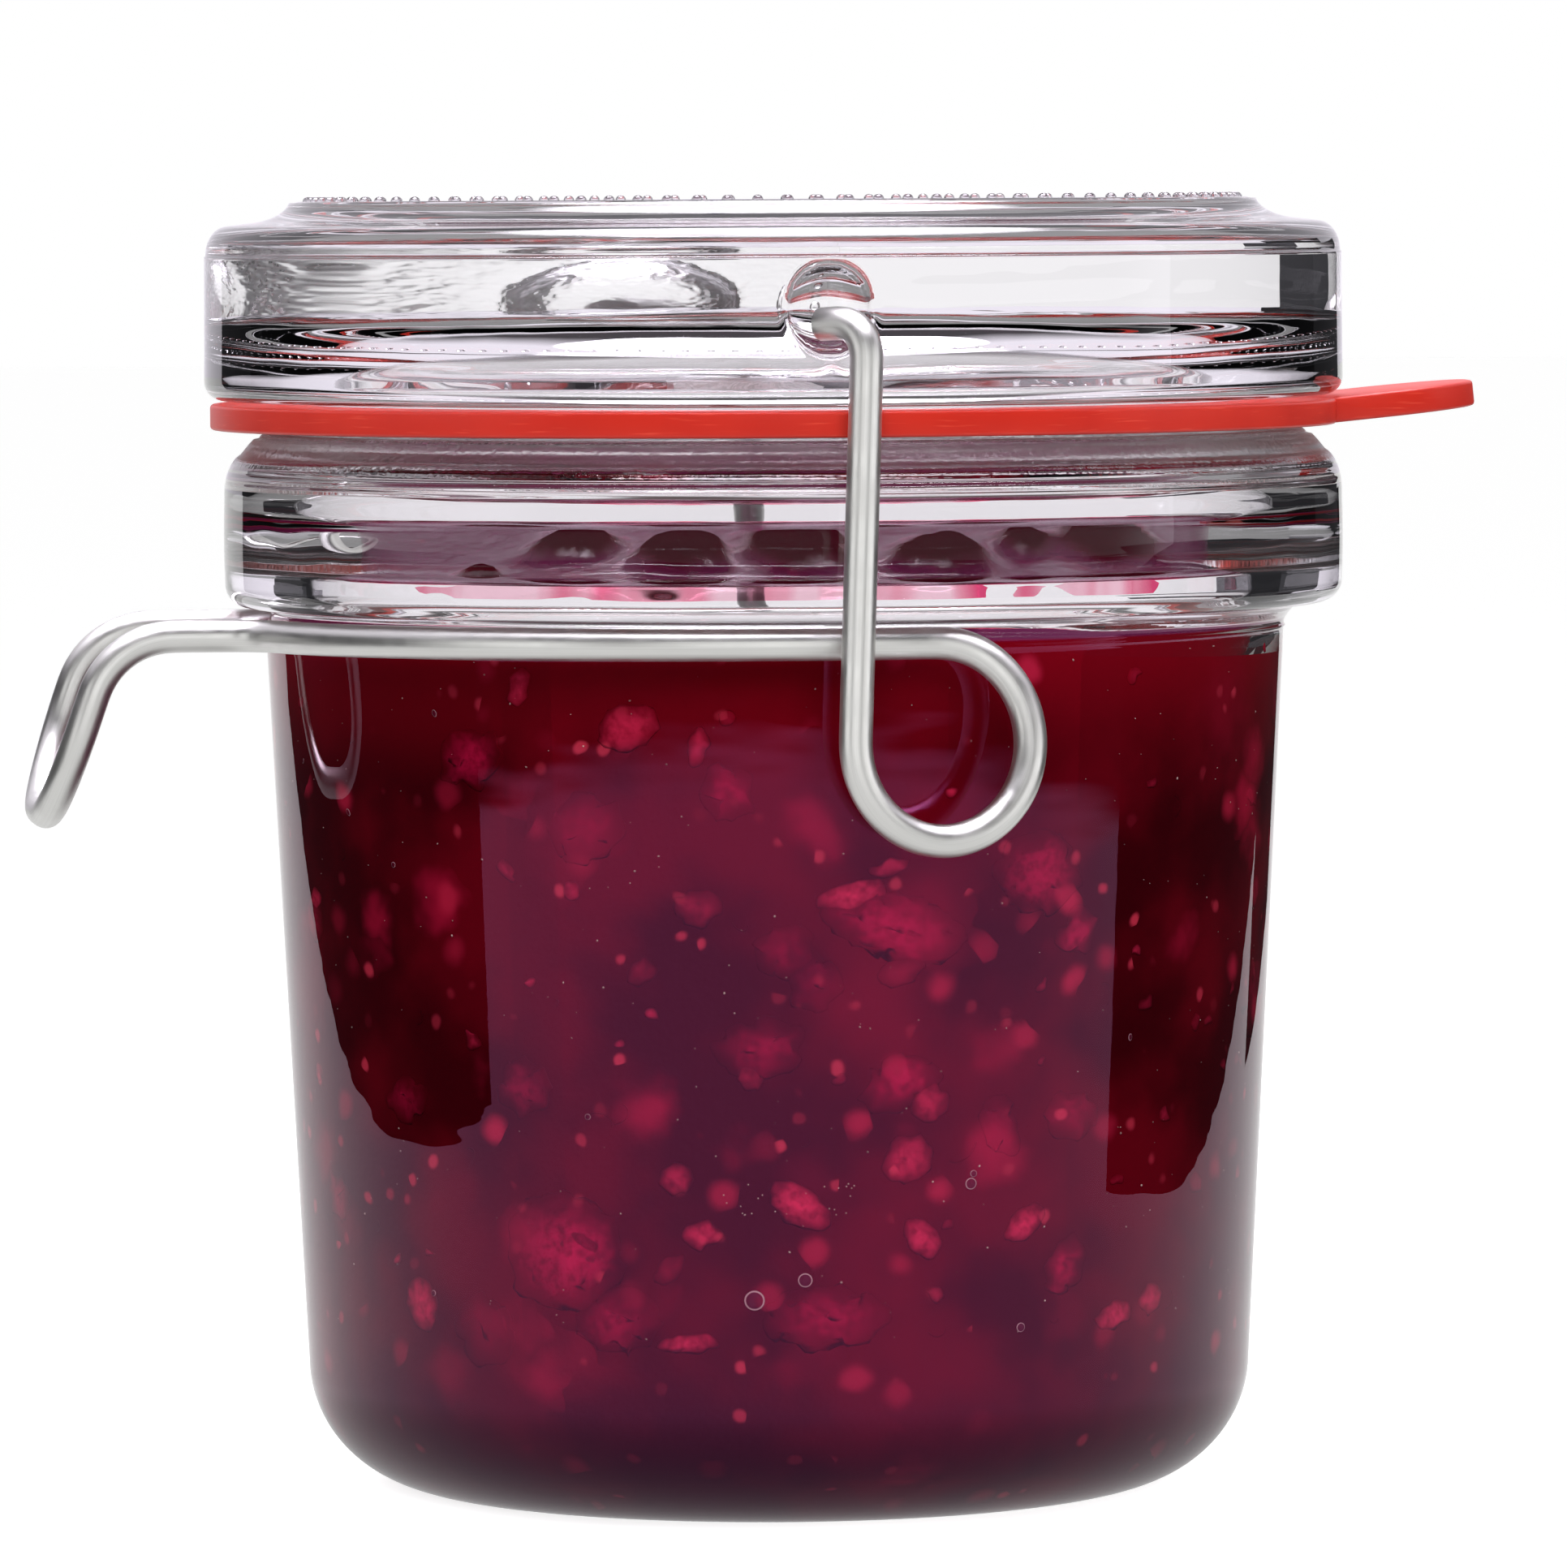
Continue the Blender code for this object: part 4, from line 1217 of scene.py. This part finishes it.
def jam_colour(tree, place):
    """Colour of the jam's skin by its place: dark wine red, painted lighter under the open top, with soft
    lumps in four sizes.
    """
    in_mm = add_node(tree, "ShaderNodeVectorMath", {0: place, 1: (1000, 1000, 1000)}, operation="MULTIPLY")
    # The fruit is torn, so its outlines are pushed about by up to 2 mm.
    torn = add_node(tree, "ShaderNodeTexNoise", {"Vector": in_mm, "Scale": 0.28, "Detail": 2.0})
    push = add_node(
        tree, "ShaderNodeVectorMath", {0: torn.outputs["Color"], 1: (4.0, 4.0, 4.0)}, operation="MULTIPLY"
    )
    where = add_node(tree, "ShaderNodeVectorMath", {0: in_mm, 1: push}, operation="ADD")
    little = add_node(
        tree, "ShaderNodeVectorMath", {0: torn.outputs["Color"], 1: (1.2, 1.2, 1.2)}, operation="MULTIPLY"
    )
    nearer = add_node(tree, "ShaderNodeVectorMath", {0: in_mm, 1: little}, operation="ADD")
    clouds = add_node(tree, "ShaderNodeTexNoise", {"Vector": in_mm, "Scale": 0.07, "Detail": 3.0})
    thin = add_node(
        tree, "ShaderNodeMapRange", {"Value": clouds, "From Min": 0.38, "From Max": 0.68},
        interpolation_type="SMOOTHSTEP",
    )
    colour = add_node(
        tree, "ShaderNodeMix", {"Factor": thin, "A": hex_to_linear("340005"), "B": hex_to_linear("5c020f")},
        data_type="RGBA",
    )
    # Painted light: under the open top the colour is painted lighter, for the light that comes in from
    # above.
    height = add_node(tree, "ShaderNodeSeparateXYZ", {0: place})
    painted_top_light = add_node(
        tree, "ShaderNodeMapRange",
        {
            "Value": height.outputs["Z"], "From Min": PAINTED_LIGHT_FROM * MM, "From Max": JAM_LEVEL * MM,
            "To Max": 0.92,
        },
        interpolation_type="SMOOTHSTEP",
    )
    colour = add_node(
        tree, "ShaderNodeMix", {"Factor": painted_top_light, "A": colour, "B": hex_to_linear("7a0414")}, data_type="RGBA"
    )
    for size, share, soft, seed, code in LAYERS:
        lump = blurred_lumps(tree, where if size > SMALL_LUMP else nearer, size, share, soft, seed)
        colour = add_node(
            tree, "ShaderNodeMix", {"Factor": lump, "A": colour, "B": hex_to_linear(code)}, data_type="RGBA"
        )
    return colour, in_mm


def set_jam():
    """Cooked fruit set with pectin: wine red and clear at first, then cloudy, wet on its open top."""
    made, tree = new_material("set_dark_fruit_jam")
    place = add_node(tree, "ShaderNodeTexCoord").outputs["Object"]
    colour, in_mm = jam_colour(tree, place)
    height = add_node(tree, "ShaderNodeSeparateXYZ", {0: place})
    fruit = add_node(tree, "ShaderNodeAttribute", attribute_name="fruit").outputs["Fac"]
    open_top = add_node(
        tree, "ShaderNodeMapRange",
        {
            "Value": height.outputs["Z"], "From Min": (JAM_LEVEL - 1.0) * MM,
            "From Max": (JAM_LEVEL - 0.4) * MM, "To Max": 0.5,
        },
    )
    # Painted reflection: the open top is painted purple, for white light mirrored on its wet skin, besides
    # its real mirroring set further down.
    film = add_node(tree, "ShaderNodeMath", {0: open_top, 1: 1.5}, operation="MULTIPLY", use_clamp=True)
    colour = add_node(
        tree, "ShaderNodeMix", {"Factor": film, "A": colour, "B": hex_to_linear("360a38")}, data_type="RGBA"
    )
    colour = add_node(
        tree, "ShaderNodeMix", {"Factor": fruit, "A": colour, "B": hex_to_linear("3c0010")},
        data_type="RGBA",
    )
    # Only the film between the lumps is wet enough to mirror.
    wet = add_node(
        tree, "ShaderNodeMath", {0: fruit, 1: -0.5, 2: open_top}, operation="MULTIPLY_ADD", use_clamp=True
    )
    bumps = add_node(tree, "ShaderNodeTexNoise", {"Vector": in_mm, "Scale": 0.9, "Detail": 2.0})
    bump = add_node(tree, "ShaderNodeBump", {"Height": bumps, "Distance": 0.06 * MM, "Strength": 0.6})
    shader = add_node(
        tree, "ShaderNodeBsdfPrincipled",
        {"Base Color": colour, "Roughness": 0.16, "IOR": 1.38, "Specular IOR Level": wet, "Normal": bump},
    )
    add_node(tree, "ShaderNodeOutputMaterial", {"Surface": shader})
    return made


jam_finish = set_jam()
print("jam reaches", INTO_GLASS, "mm into the glass")


# %% Jam body
TOP_RINGS = 56
RAGGED_SHARE = 0.2  # how ragged the fruit at the top is, as a share of its size
FRUIT_CONTRAST = 2.2
OPEN_TOP = JAM_LEVEL - 0.6  # points above this height belong to the open top


def fruit_under(x, y):
    """Height that the fruit under the wet skin lifts it by, and the share of it that shows."""
    lift, share = 0.0, 0.0
    for right, ahead, size, rise in TOP_FRUIT:
        middle = from_camera(ahead, right, 0)
        away = math.hypot(x - middle[0], y - middle[1]) / size + RAGGED_SHARE * ripple((x, y, 3), 3)
        bump = (1 - min(max(away, 0), 1) ** 2) ** 2
        lift += rise * bump
        share = max(share, smooth(FRUIT_CONTRAST * bump))
    return lift, share


def jam_top(x, y):
    """Height of the jam's wet top: nearly level, with fruit under its skin, and up the wall a little."""
    height = JAM_LEVEL + JAM_WAVE * ripple((x, y, 5), 14) + JAM_RIPPLE * ripple((x, y, 9), 4)
    height += fruit_under(x, y)[0]
    return height + CREEP * smooth(math.hypot(x, y) / inner_wall(JAM_LEVEL)) ** 12


def jam_skin(point):
    """Raises and sinks the open top, and sets the collar's offset as on the jar."""
    if point.z > OPEN_TOP:
        point = Vector((point.x, point.y, jam_top(point.x, point.y) + point.z - JAM_LEVEL))
    return beside_body(point)


def jam_profile():
    """The jam's closed outline, from the middle of its open top down the wall and over the floor."""
    side_top = JAM_LEVEL - 1.2
    wall = inner_wall(JAM_LEVEL) + INTO_GLASS
    below = floor_curve(-INTO_GLASS, 12)
    corner_top = FLOOR + FLOOR_CORNER
    foot = (inner_wall(corner_top) + INTO_GLASS, corner_top)
    top = (inner_wall(side_top) + INTO_GLASS, side_top)
    below += line(foot, top, 40)[1:] + [top]
    surface = [(wall * (1 - i / TOP_RINGS), JAM_LEVEL) for i in range(TOP_RINGS + 1)]
    return (below + surface)[::-1]


jam = lathe("jam_body", jam_profile(), ROUND, jam_finish, move=jam_skin)
marks = jam.data.attributes.new("fruit", "FLOAT", "POINT")
for vertex in jam.data.vertices:
    x, y, z = vertex.co / MM
    if z > OPEN_TOP:
        marks.data[vertex.index].value = fruit_under(x - COLLAR_OFFSET, y)[1]
finished(jam, "jam")

# %% [markdown]
# ## Film of jam on the wall
# Above its level a thin film of jam clings to the glass, higher in some places than in others. White
# light from behind comes through it pink. It is a thin closed ring that reaches just into the glass.

# %% Jam film
FILM = 0.12
FILM_HEIGHT = 0.9
FILM_WAVE = 0.25
FILM_REAR = 1.5  # how much higher the film is on the far wall
FILM_REAR_FROM = 14
FILM_PEAK = 0.35
# Places where the film on the far wall is high: how far right on the view, half width and height.
FILM_HIGH = ((-11.4, 5.0, 2.3), (-2.0, 6.5, 1.5), (12.4, 6.5, 1.8), (29.5, 5.0, 1.6), (-30.0, 4.0, 0.8))


def clear_jam():
    """Jam so thin that it only tints the light."""
    made, tree = new_material("thin_jam_film")
    where = add_node(tree, "ShaderNodeTexCoord").outputs["Object"]
    streaks = add_node(tree, "ShaderNodeMapping", {"Vector": where, "Scale": (150, 150, 45)})
    patches = add_node(
        tree, "ShaderNodeTexNoise", {"Vector": streaks, "Scale": 1.0, "Detail": 2.0, "Roughness": 0.6}
    )
    thick = add_node(tree, "ShaderNodeMapRange", {"Value": patches, "From Min": 0.4, "From Max": 0.66})
    colour = add_node(
        tree, "ShaderNodeMix",
        {"Factor": thick, "A": hex_to_linear("fad2de"), "B": hex_to_linear("e4507e")},
        data_type="RGBA",
    )
    shader = add_node(
        tree, "ShaderNodeBsdfPrincipled",
        {
            "Base Color": colour, "Roughness": 0.1, "IOR": 1.02, "Transmission Weight": 1.0,
            "Specular Tint": (1, 0.8, 0.9, 1),
        },
    )
    clear_to_shadows(tree, shader)
    return made


def film_top(azimuth):
    """Height of the film's upper edge above the jam's level."""
    across = Vector((math.cos(azimuth), math.sin(azimuth), 0)) * THROAT_RADIUS
    right = across.x * math.cos(CAMERA_TURN) - across.y * math.sin(CAMERA_TURN)
    height = FILM_HEIGHT + FILM_WAVE * ripple(across, 7) + FILM_REAR * smooth(across.y / FILM_REAR_FROM)
    if across.y > 0:
        for middle, half, rise in FILM_HIGH:
            height += FILM_PEAK * rise * smooth(2.2 * (1 - abs(right - middle) / half))
    return height


def film_profile(azimuth):
    """The film's closed section at one direction, from its foot on the jam up to its thin edge."""
    wall = inner_wall(JAM_LEVEL)
    foot = JAM_LEVEL - 0.3
    top = JAM_LEVEL + film_top(azimuth)
    levels = (foot, foot + (top - foot) * 0.4, foot + (top - foot) * 0.8)
    inner = [(min(wall, THROAT_RADIUS + (COLLAR_BOTTOM + 1.2 - z) / 4) - FILM, z) for z in levels]
    outer = [(r + 2 * FILM, z) for r, z in inner[::-1]]
    return inner + [(inner[-1][0] + FILM, top)] + outer


film_verts, film_faces = [], []
for i, azimuth in enumerate(ROUND):
    section = film_profile(azimuth)
    for radius, height in section:
        film_verts.append(beside_body(around_axis(radius, azimuth, height)) * MM)
    count = len(section)
    for k in range(count):
        here, after = i * count, (i + 1) % len(ROUND) * count
        film_faces.append((here + k, after + k, after + (k + 1) % count, here + (k + 1) % count))
film_mesh = bpy.data.meshes.new("jam_film")
film_mesh.from_pydata(film_verts, [], film_faces)
film_mesh.materials.append(clear_jam())
film_mesh.shade_smooth()
film = new_object("jam_film", film_mesh)
shape = bmesh.new()
shape.from_mesh(film_mesh)
bmesh.ops.recalc_face_normals(shape, faces=shape.faces)
shape.to_mesh(film_mesh)
shape.free()
finished(film, None)

# %% [markdown]
# ## Fruit in the jam
# Bits of fruit, bubbles and fibres lie against the glass, with tiny pale specks among them that are painted
# glints. Each is a small flat body, half sunk in the jam's skin. Its rim has the jam's own colour and its
# middle has its own, because jam clouds whatever lies deeper. A bubble's mauve middle and pale ring are
# painted light, the ring a painted highlight. Geometry Nodes set one shape on each place, then it is bent
# round the jam.

# %% Places
BODY_RADIUS = 41.0
SKIN_RADIUS = 40
LEAF = 0.14  # how far a bit stands out of the jam's skin


def azimuth_behind_glass(right):
    """Direction of a point of the jam's skin that the view shows this far right of the axis, in mm."""
    bent = right / GLASS_IOR
    off_view = math.asin(right / BODY_RADIUS) - math.asin(bent / BODY_RADIUS)
    off_view += math.asin(bent / (BODY_RADIUS - WALL))
    return off_view - math.pi / 2 - CAMERA_TURN


def place_points(name, places):
    """A mesh of single points with their size, direction and strength of colour, from a list of
    (azimuth, height, wide, high, turn, strength)."""
    mesh = bpy.data.meshes.new(name)
    spots = [around_axis(inner_wall(place[1]) + INTO_GLASS, place[0], place[1]) * MM for place in places]
    mesh.from_pydata(spots, [], [])
    for label, kind in (("size", "FLOAT_VECTOR"), ("facing", "FLOAT_VECTOR"), ("strength", "FLOAT")):
        mesh.attributes.new(label, kind, "POINT")
    for i, (azimuth, _, wide, high, turn, strong) in enumerate(places):
        mesh.attributes["size"].data[i].vector = (LEAF * MM, wide / 2 * MM, high / 2 * MM)
        mesh.attributes["facing"].data[i].vector = (math.radians(turn), 0, azimuth)
        mesh.attributes["strength"].data[i].value = strong
    return mesh


def scatter(count, seed, low, high, small, large, weak=0.2, strong=0.8):
    """Places all round the jam, between two heights, of sizes from small to large."""
    draw = random.Random(seed)
    places = []
    for _ in range(count):
        wide = small + (large - small) * draw.random() ** 2
        azimuth = draw.uniform(-math.pi, math.pi)
        height = draw.uniform(low, high)
        tall = wide * draw.uniform(0.5, 1.0)
        turn = draw.uniform(-90, 90)
        places.append((azimuth, height, wide, tall, turn, weak + (strong - weak) * draw.random() ** 2))
    return places


def seen(*spots):
    """Places by what the view shows: (right, height, wide, high, turn, strength)."""
    return [(azimuth_behind_glass(spot[0]), *spot[1:]) for spot in spots]


# %% Sunk pieces
def sunk_tree(name, finish, shape):
    """Sets a shape on each place, by its size and direction, and keeps each point's depth."""
    tree, given, output = new_tree(name, {})
    made = shape(tree)
    position = add_node(tree, "GeometryNodeInputPosition")
    axes = add_node(tree, "ShaderNodeSeparateXYZ", {0: position})
    marked = add_node(
        tree, "GeometryNodeStoreNamedAttribute",
        {"Geometry": made, "Name": "depth", "Value": axes.outputs["X"]},
        data_type="FLOAT", domain="POINT",
    )
    size = add_node(tree, "GeometryNodeInputNamedAttribute", {"Name": "size"}, data_type="FLOAT_VECTOR")
    facing = add_node(tree, "GeometryNodeInputNamedAttribute", {"Name": "facing"}, data_type="FLOAT_VECTOR")
    turn = add_node(tree, "FunctionNodeEulerToRotation", {0: facing})
    placed = add_node(
        tree, "GeometryNodeInstanceOnPoints",
        {"Points": given.outputs["Geometry"], "Instance": marked, "Rotation": turn, "Scale": size},
    )
    end_tree(tree, output, placed, finish)
    return tree


def ball(detail):
    """A round piece, finer where detail is high."""
    sizes = {"Radius": 1.0, "Subdivisions": detail}
    return lambda tree: add_node(tree, "GeometryNodeMeshIcoSphere", sizes)


def hair(tree):
    """A bent hair: a third of a circle as wide as the place, swept with a small round section."""
    curve = add_node(
        tree, "GeometryNodeCurveArc", {"Resolution": 14, "Radius": 1.0, "Sweep Angle": math.radians(130)}
    )
    upright = add_node(tree, "GeometryNodeTransform", {"Geometry": curve, "Rotation": (0, math.pi / 2, 0)})
    section = add_node(tree, "GeometryNodeCurvePrimitiveCircle", {"Resolution": 6, "Radius": 0.06})
    return add_node(
        tree, "GeometryNodeCurveToMesh", {"Curve": upright, "Profile Curve": section, "Fill Caps": True}
    )


PUSH_FINENESS = 0.8
noise.seed_set(7)  # vector noise shifts its patterns by a seed, which is the time where none is set


def sunk(name, finish, shape, places, ragged, thick=LEAF):
    """Makes one kind of piece on all its places and bends it round the jam's skin."""
    obj = realised(name, sunk_tree(name, finish, shape), {}, place_points(name + "_places", places))
    depth = obj.data.attributes["depth"].data
    for vertex in obj.data.vertices:
        x, y, z = vertex.co / MM
        push = Vector()
        if ragged:
            push = ragged * noise.noise_vector(Vector((x, y, z)) * PUSH_FINENESS / ragged**0.5)
        azimuth = math.atan2(y, x) + push.x / SKIN_RADIUS
        height = z + push.z
        radius = inner_wall(height) + INTO_GLASS + thick * depth[vertex.index].value
        vertex.co = around_axis(radius, azimuth, height) * MM
    finished(obj, None)


RING_DEPTH_SHARE = 0.46  # a bubble's pale ring, a painted highlight, by its depth as a share of the whole
RING_HALF_WIDTH = 0.14


def in_jelly(name, code, edge, ring=None):
    """A bit in the jam: its own colour in its middle, the jam's at its rim. The rim fades slowly if
    edge is high. A ring is paler still: a painted highlight, as on an air bubble."""
    made, tree = new_material(name)
    place = add_node(tree, "ShaderNodeTexCoord").outputs["Object"]
    colour, in_mm = jam_colour(tree, place)
    depth = add_node(tree, "ShaderNodeAttribute", attribute_name="depth").outputs["Fac"]
    strength = add_node(tree, "ShaderNodeAttribute", attribute_name="strength").outputs["Fac"]
    core = add_node(tree, "ShaderNodeMath", {0: depth, 1: edge}, operation="POWER")
    core = add_node(tree, "ShaderNodeMath", {0: core, 1: strength}, operation="MULTIPLY")
    cells = add_node(tree, "ShaderNodeTexNoise", {"Vector": in_mm, "Scale": 1.3, "Detail": 3.0})
    mottled = add_node(
        tree, "ShaderNodeMapRange", {"Value": cells, "From Min": 0.3, "From Max": 0.6, "To Min": 0.35}
    )
    share = add_node(tree, "ShaderNodeMath", {0: core, 1: mottled}, operation="MULTIPLY")
    colour = add_node(
        tree, "ShaderNodeMix", {"Factor": share, "A": colour, "B": hex_to_linear(code)}, data_type="RGBA"
    )
    # The pale ring is a painted highlight.
    if ring:
        rim = add_node(
            tree, "ShaderNodeMath", {0: depth, 1: RING_DEPTH_SHARE, 2: RING_HALF_WIDTH}, operation="COMPARE"
        )
        colour = add_node(
            tree, "ShaderNodeMix", {"Factor": rim, "A": colour, "B": hex_to_linear(ring)}, data_type="RGBA"
        )
    shader = add_node(
        tree, "ShaderNodeBsdfPrincipled",
        {"Base Color": colour, "Roughness": 0.5, "Specular IOR Level": 0.0},
    )
    add_node(tree, "ShaderNodeOutputMaterial", {"Surface": shader})
    return made


soft_places = seen(
    (-17.6, 22.4, 10.5, 9.5, 0, 1.0),
    (-24.0, 61.9, 6.0, 5.0, 20, 0.6),
    (-3.7, 59.5, 4.5, 4.5, 0, 0.5),
    (9.4, 48.7, 12.0, 5.5, -15, 0.9),
    (20.9, 52.6, 8.0, 6.5, 0, 0.75),
    (-1.3, 39.0, 7.0, 5.0, 10, 0.5),
    (9.8, 36.3, 6.5, 4.0, 20, 0.7),
    (24.0, 33.0, 5.0, 4.0, 0, 0.4),
    (-30.5, 34.0, 5.0, 3.5, 0, 0.4),
    (-13.5, 17.0, 7.0, 5.0, 0, 0.5),
    (4.0, 17.5, 10.0, 5.0, 0, 0.55),
)
flake_places = seen(
    (-11.5, 64.6, 5.2, 3.6, 15, 0.8),
    (1.7, 26.5, 5.6, 3.2, -35, 1.0),
    (6.0, 51.2, 5.6, 2.2, 12, 1.0),
    (10.6, 30.0, 4.4, 3.6, 40, 0.7),
    (20.3, 24.4, 4.4, 2.4, 35, 0.9),
    (11.9, 23.7, 3.8, 2.6, -50, 0.9),
    (-6.3, 24.2, 3.2, 2.2, 20, 0.8),
    (-7.6, 15.4, 5.0, 1.6, 5, 0.9),
    (-30.0, 17.5, 3.6, 4.6, 20, 0.9),
    (-8.2, 28.6, 3.0, 2.6, 0, 0.6),
    (28.2, 16.4, 4.0, 2.2, 10, 0.9),
    (31.3, 17.5, 3.0, 2.4, 0, 0.8),
    (9.0, 53.5, 3.4, 1.4, 8, 0.7),
)
soft_fruit = in_jelly("clouded_fruit_in_jelly", "b4123f", 3.4)
near_fruit = in_jelly("fruit_flesh_in_jelly", "c8244a", 2.0)
# The pale specks are painted glints: tiny highlights where light catches the jam's skin.
glint_speck = in_jelly("painted_glint_specks", "e8c8c4", 0.3)
# An air bubble has no colour of its own: its mauve middle and pale ring are painted light.
bubble = in_jelly("painted_air_bubble", "50182c", 0.9, "a87c88")
row = random.Random(4)
glint_row = seen(*[(row.uniform(-5, 7), row.uniform(25.6, 28.4), 0.12, 0.12, 0, 0.9) for _ in range(26)])
bubble_places = seen(
    (-2.0, 18.9, 1.7, 1.7, 0, 1),
    (2.2, 20.5, 1.2, 1.2, 0, 1),
    (15.8, 27.9, 1.0, 1.0, 0, 1),
    (16.0, 28.7, 0.6, 0.6, 0, 1),
    (20.2, 16.1, 0.8, 0.8, 0, 1),
)
hair_places = seen(
    (-13.4, 33.8, 2.6, 1.8, 10, 0.8),
    (-14.6, 32.9, 1.8, 2.4, 80, 0.8),
    (15.0, 31.0, 2.0, 3.0, -40, 0.8),
)
sunk("fruit_lumps", soft_fruit, ball(4), soft_places + scatter(34, 5, 16, 68, 4.0, 9), 0.9)
sunk("fruit_flakes", near_fruit, ball(3), flake_places + scatter(110, 8, 15, 70, 1.0, 4.0), 0.45)
# Painted glints: hundreds of tiny pale specks all round the jam.
sunk("painted_glints", glint_speck, ball(1), glint_row + scatter(620, 12, 14.5, 70.5, 0.08, 0.26, 0.3, 1.0), 0)
sunk("jam_bubbles", bubble, ball(3), bubble_places + scatter(16, 21, 15, 68, 0.5, 1.2, 0.8, 1.0), 0)
sunk("fruit_fibres", near_fruit, hair, hair_places + scatter(34, 30, 15, 68, 1.0, 4.0, 0.4, 0.9), 0, 1.4)
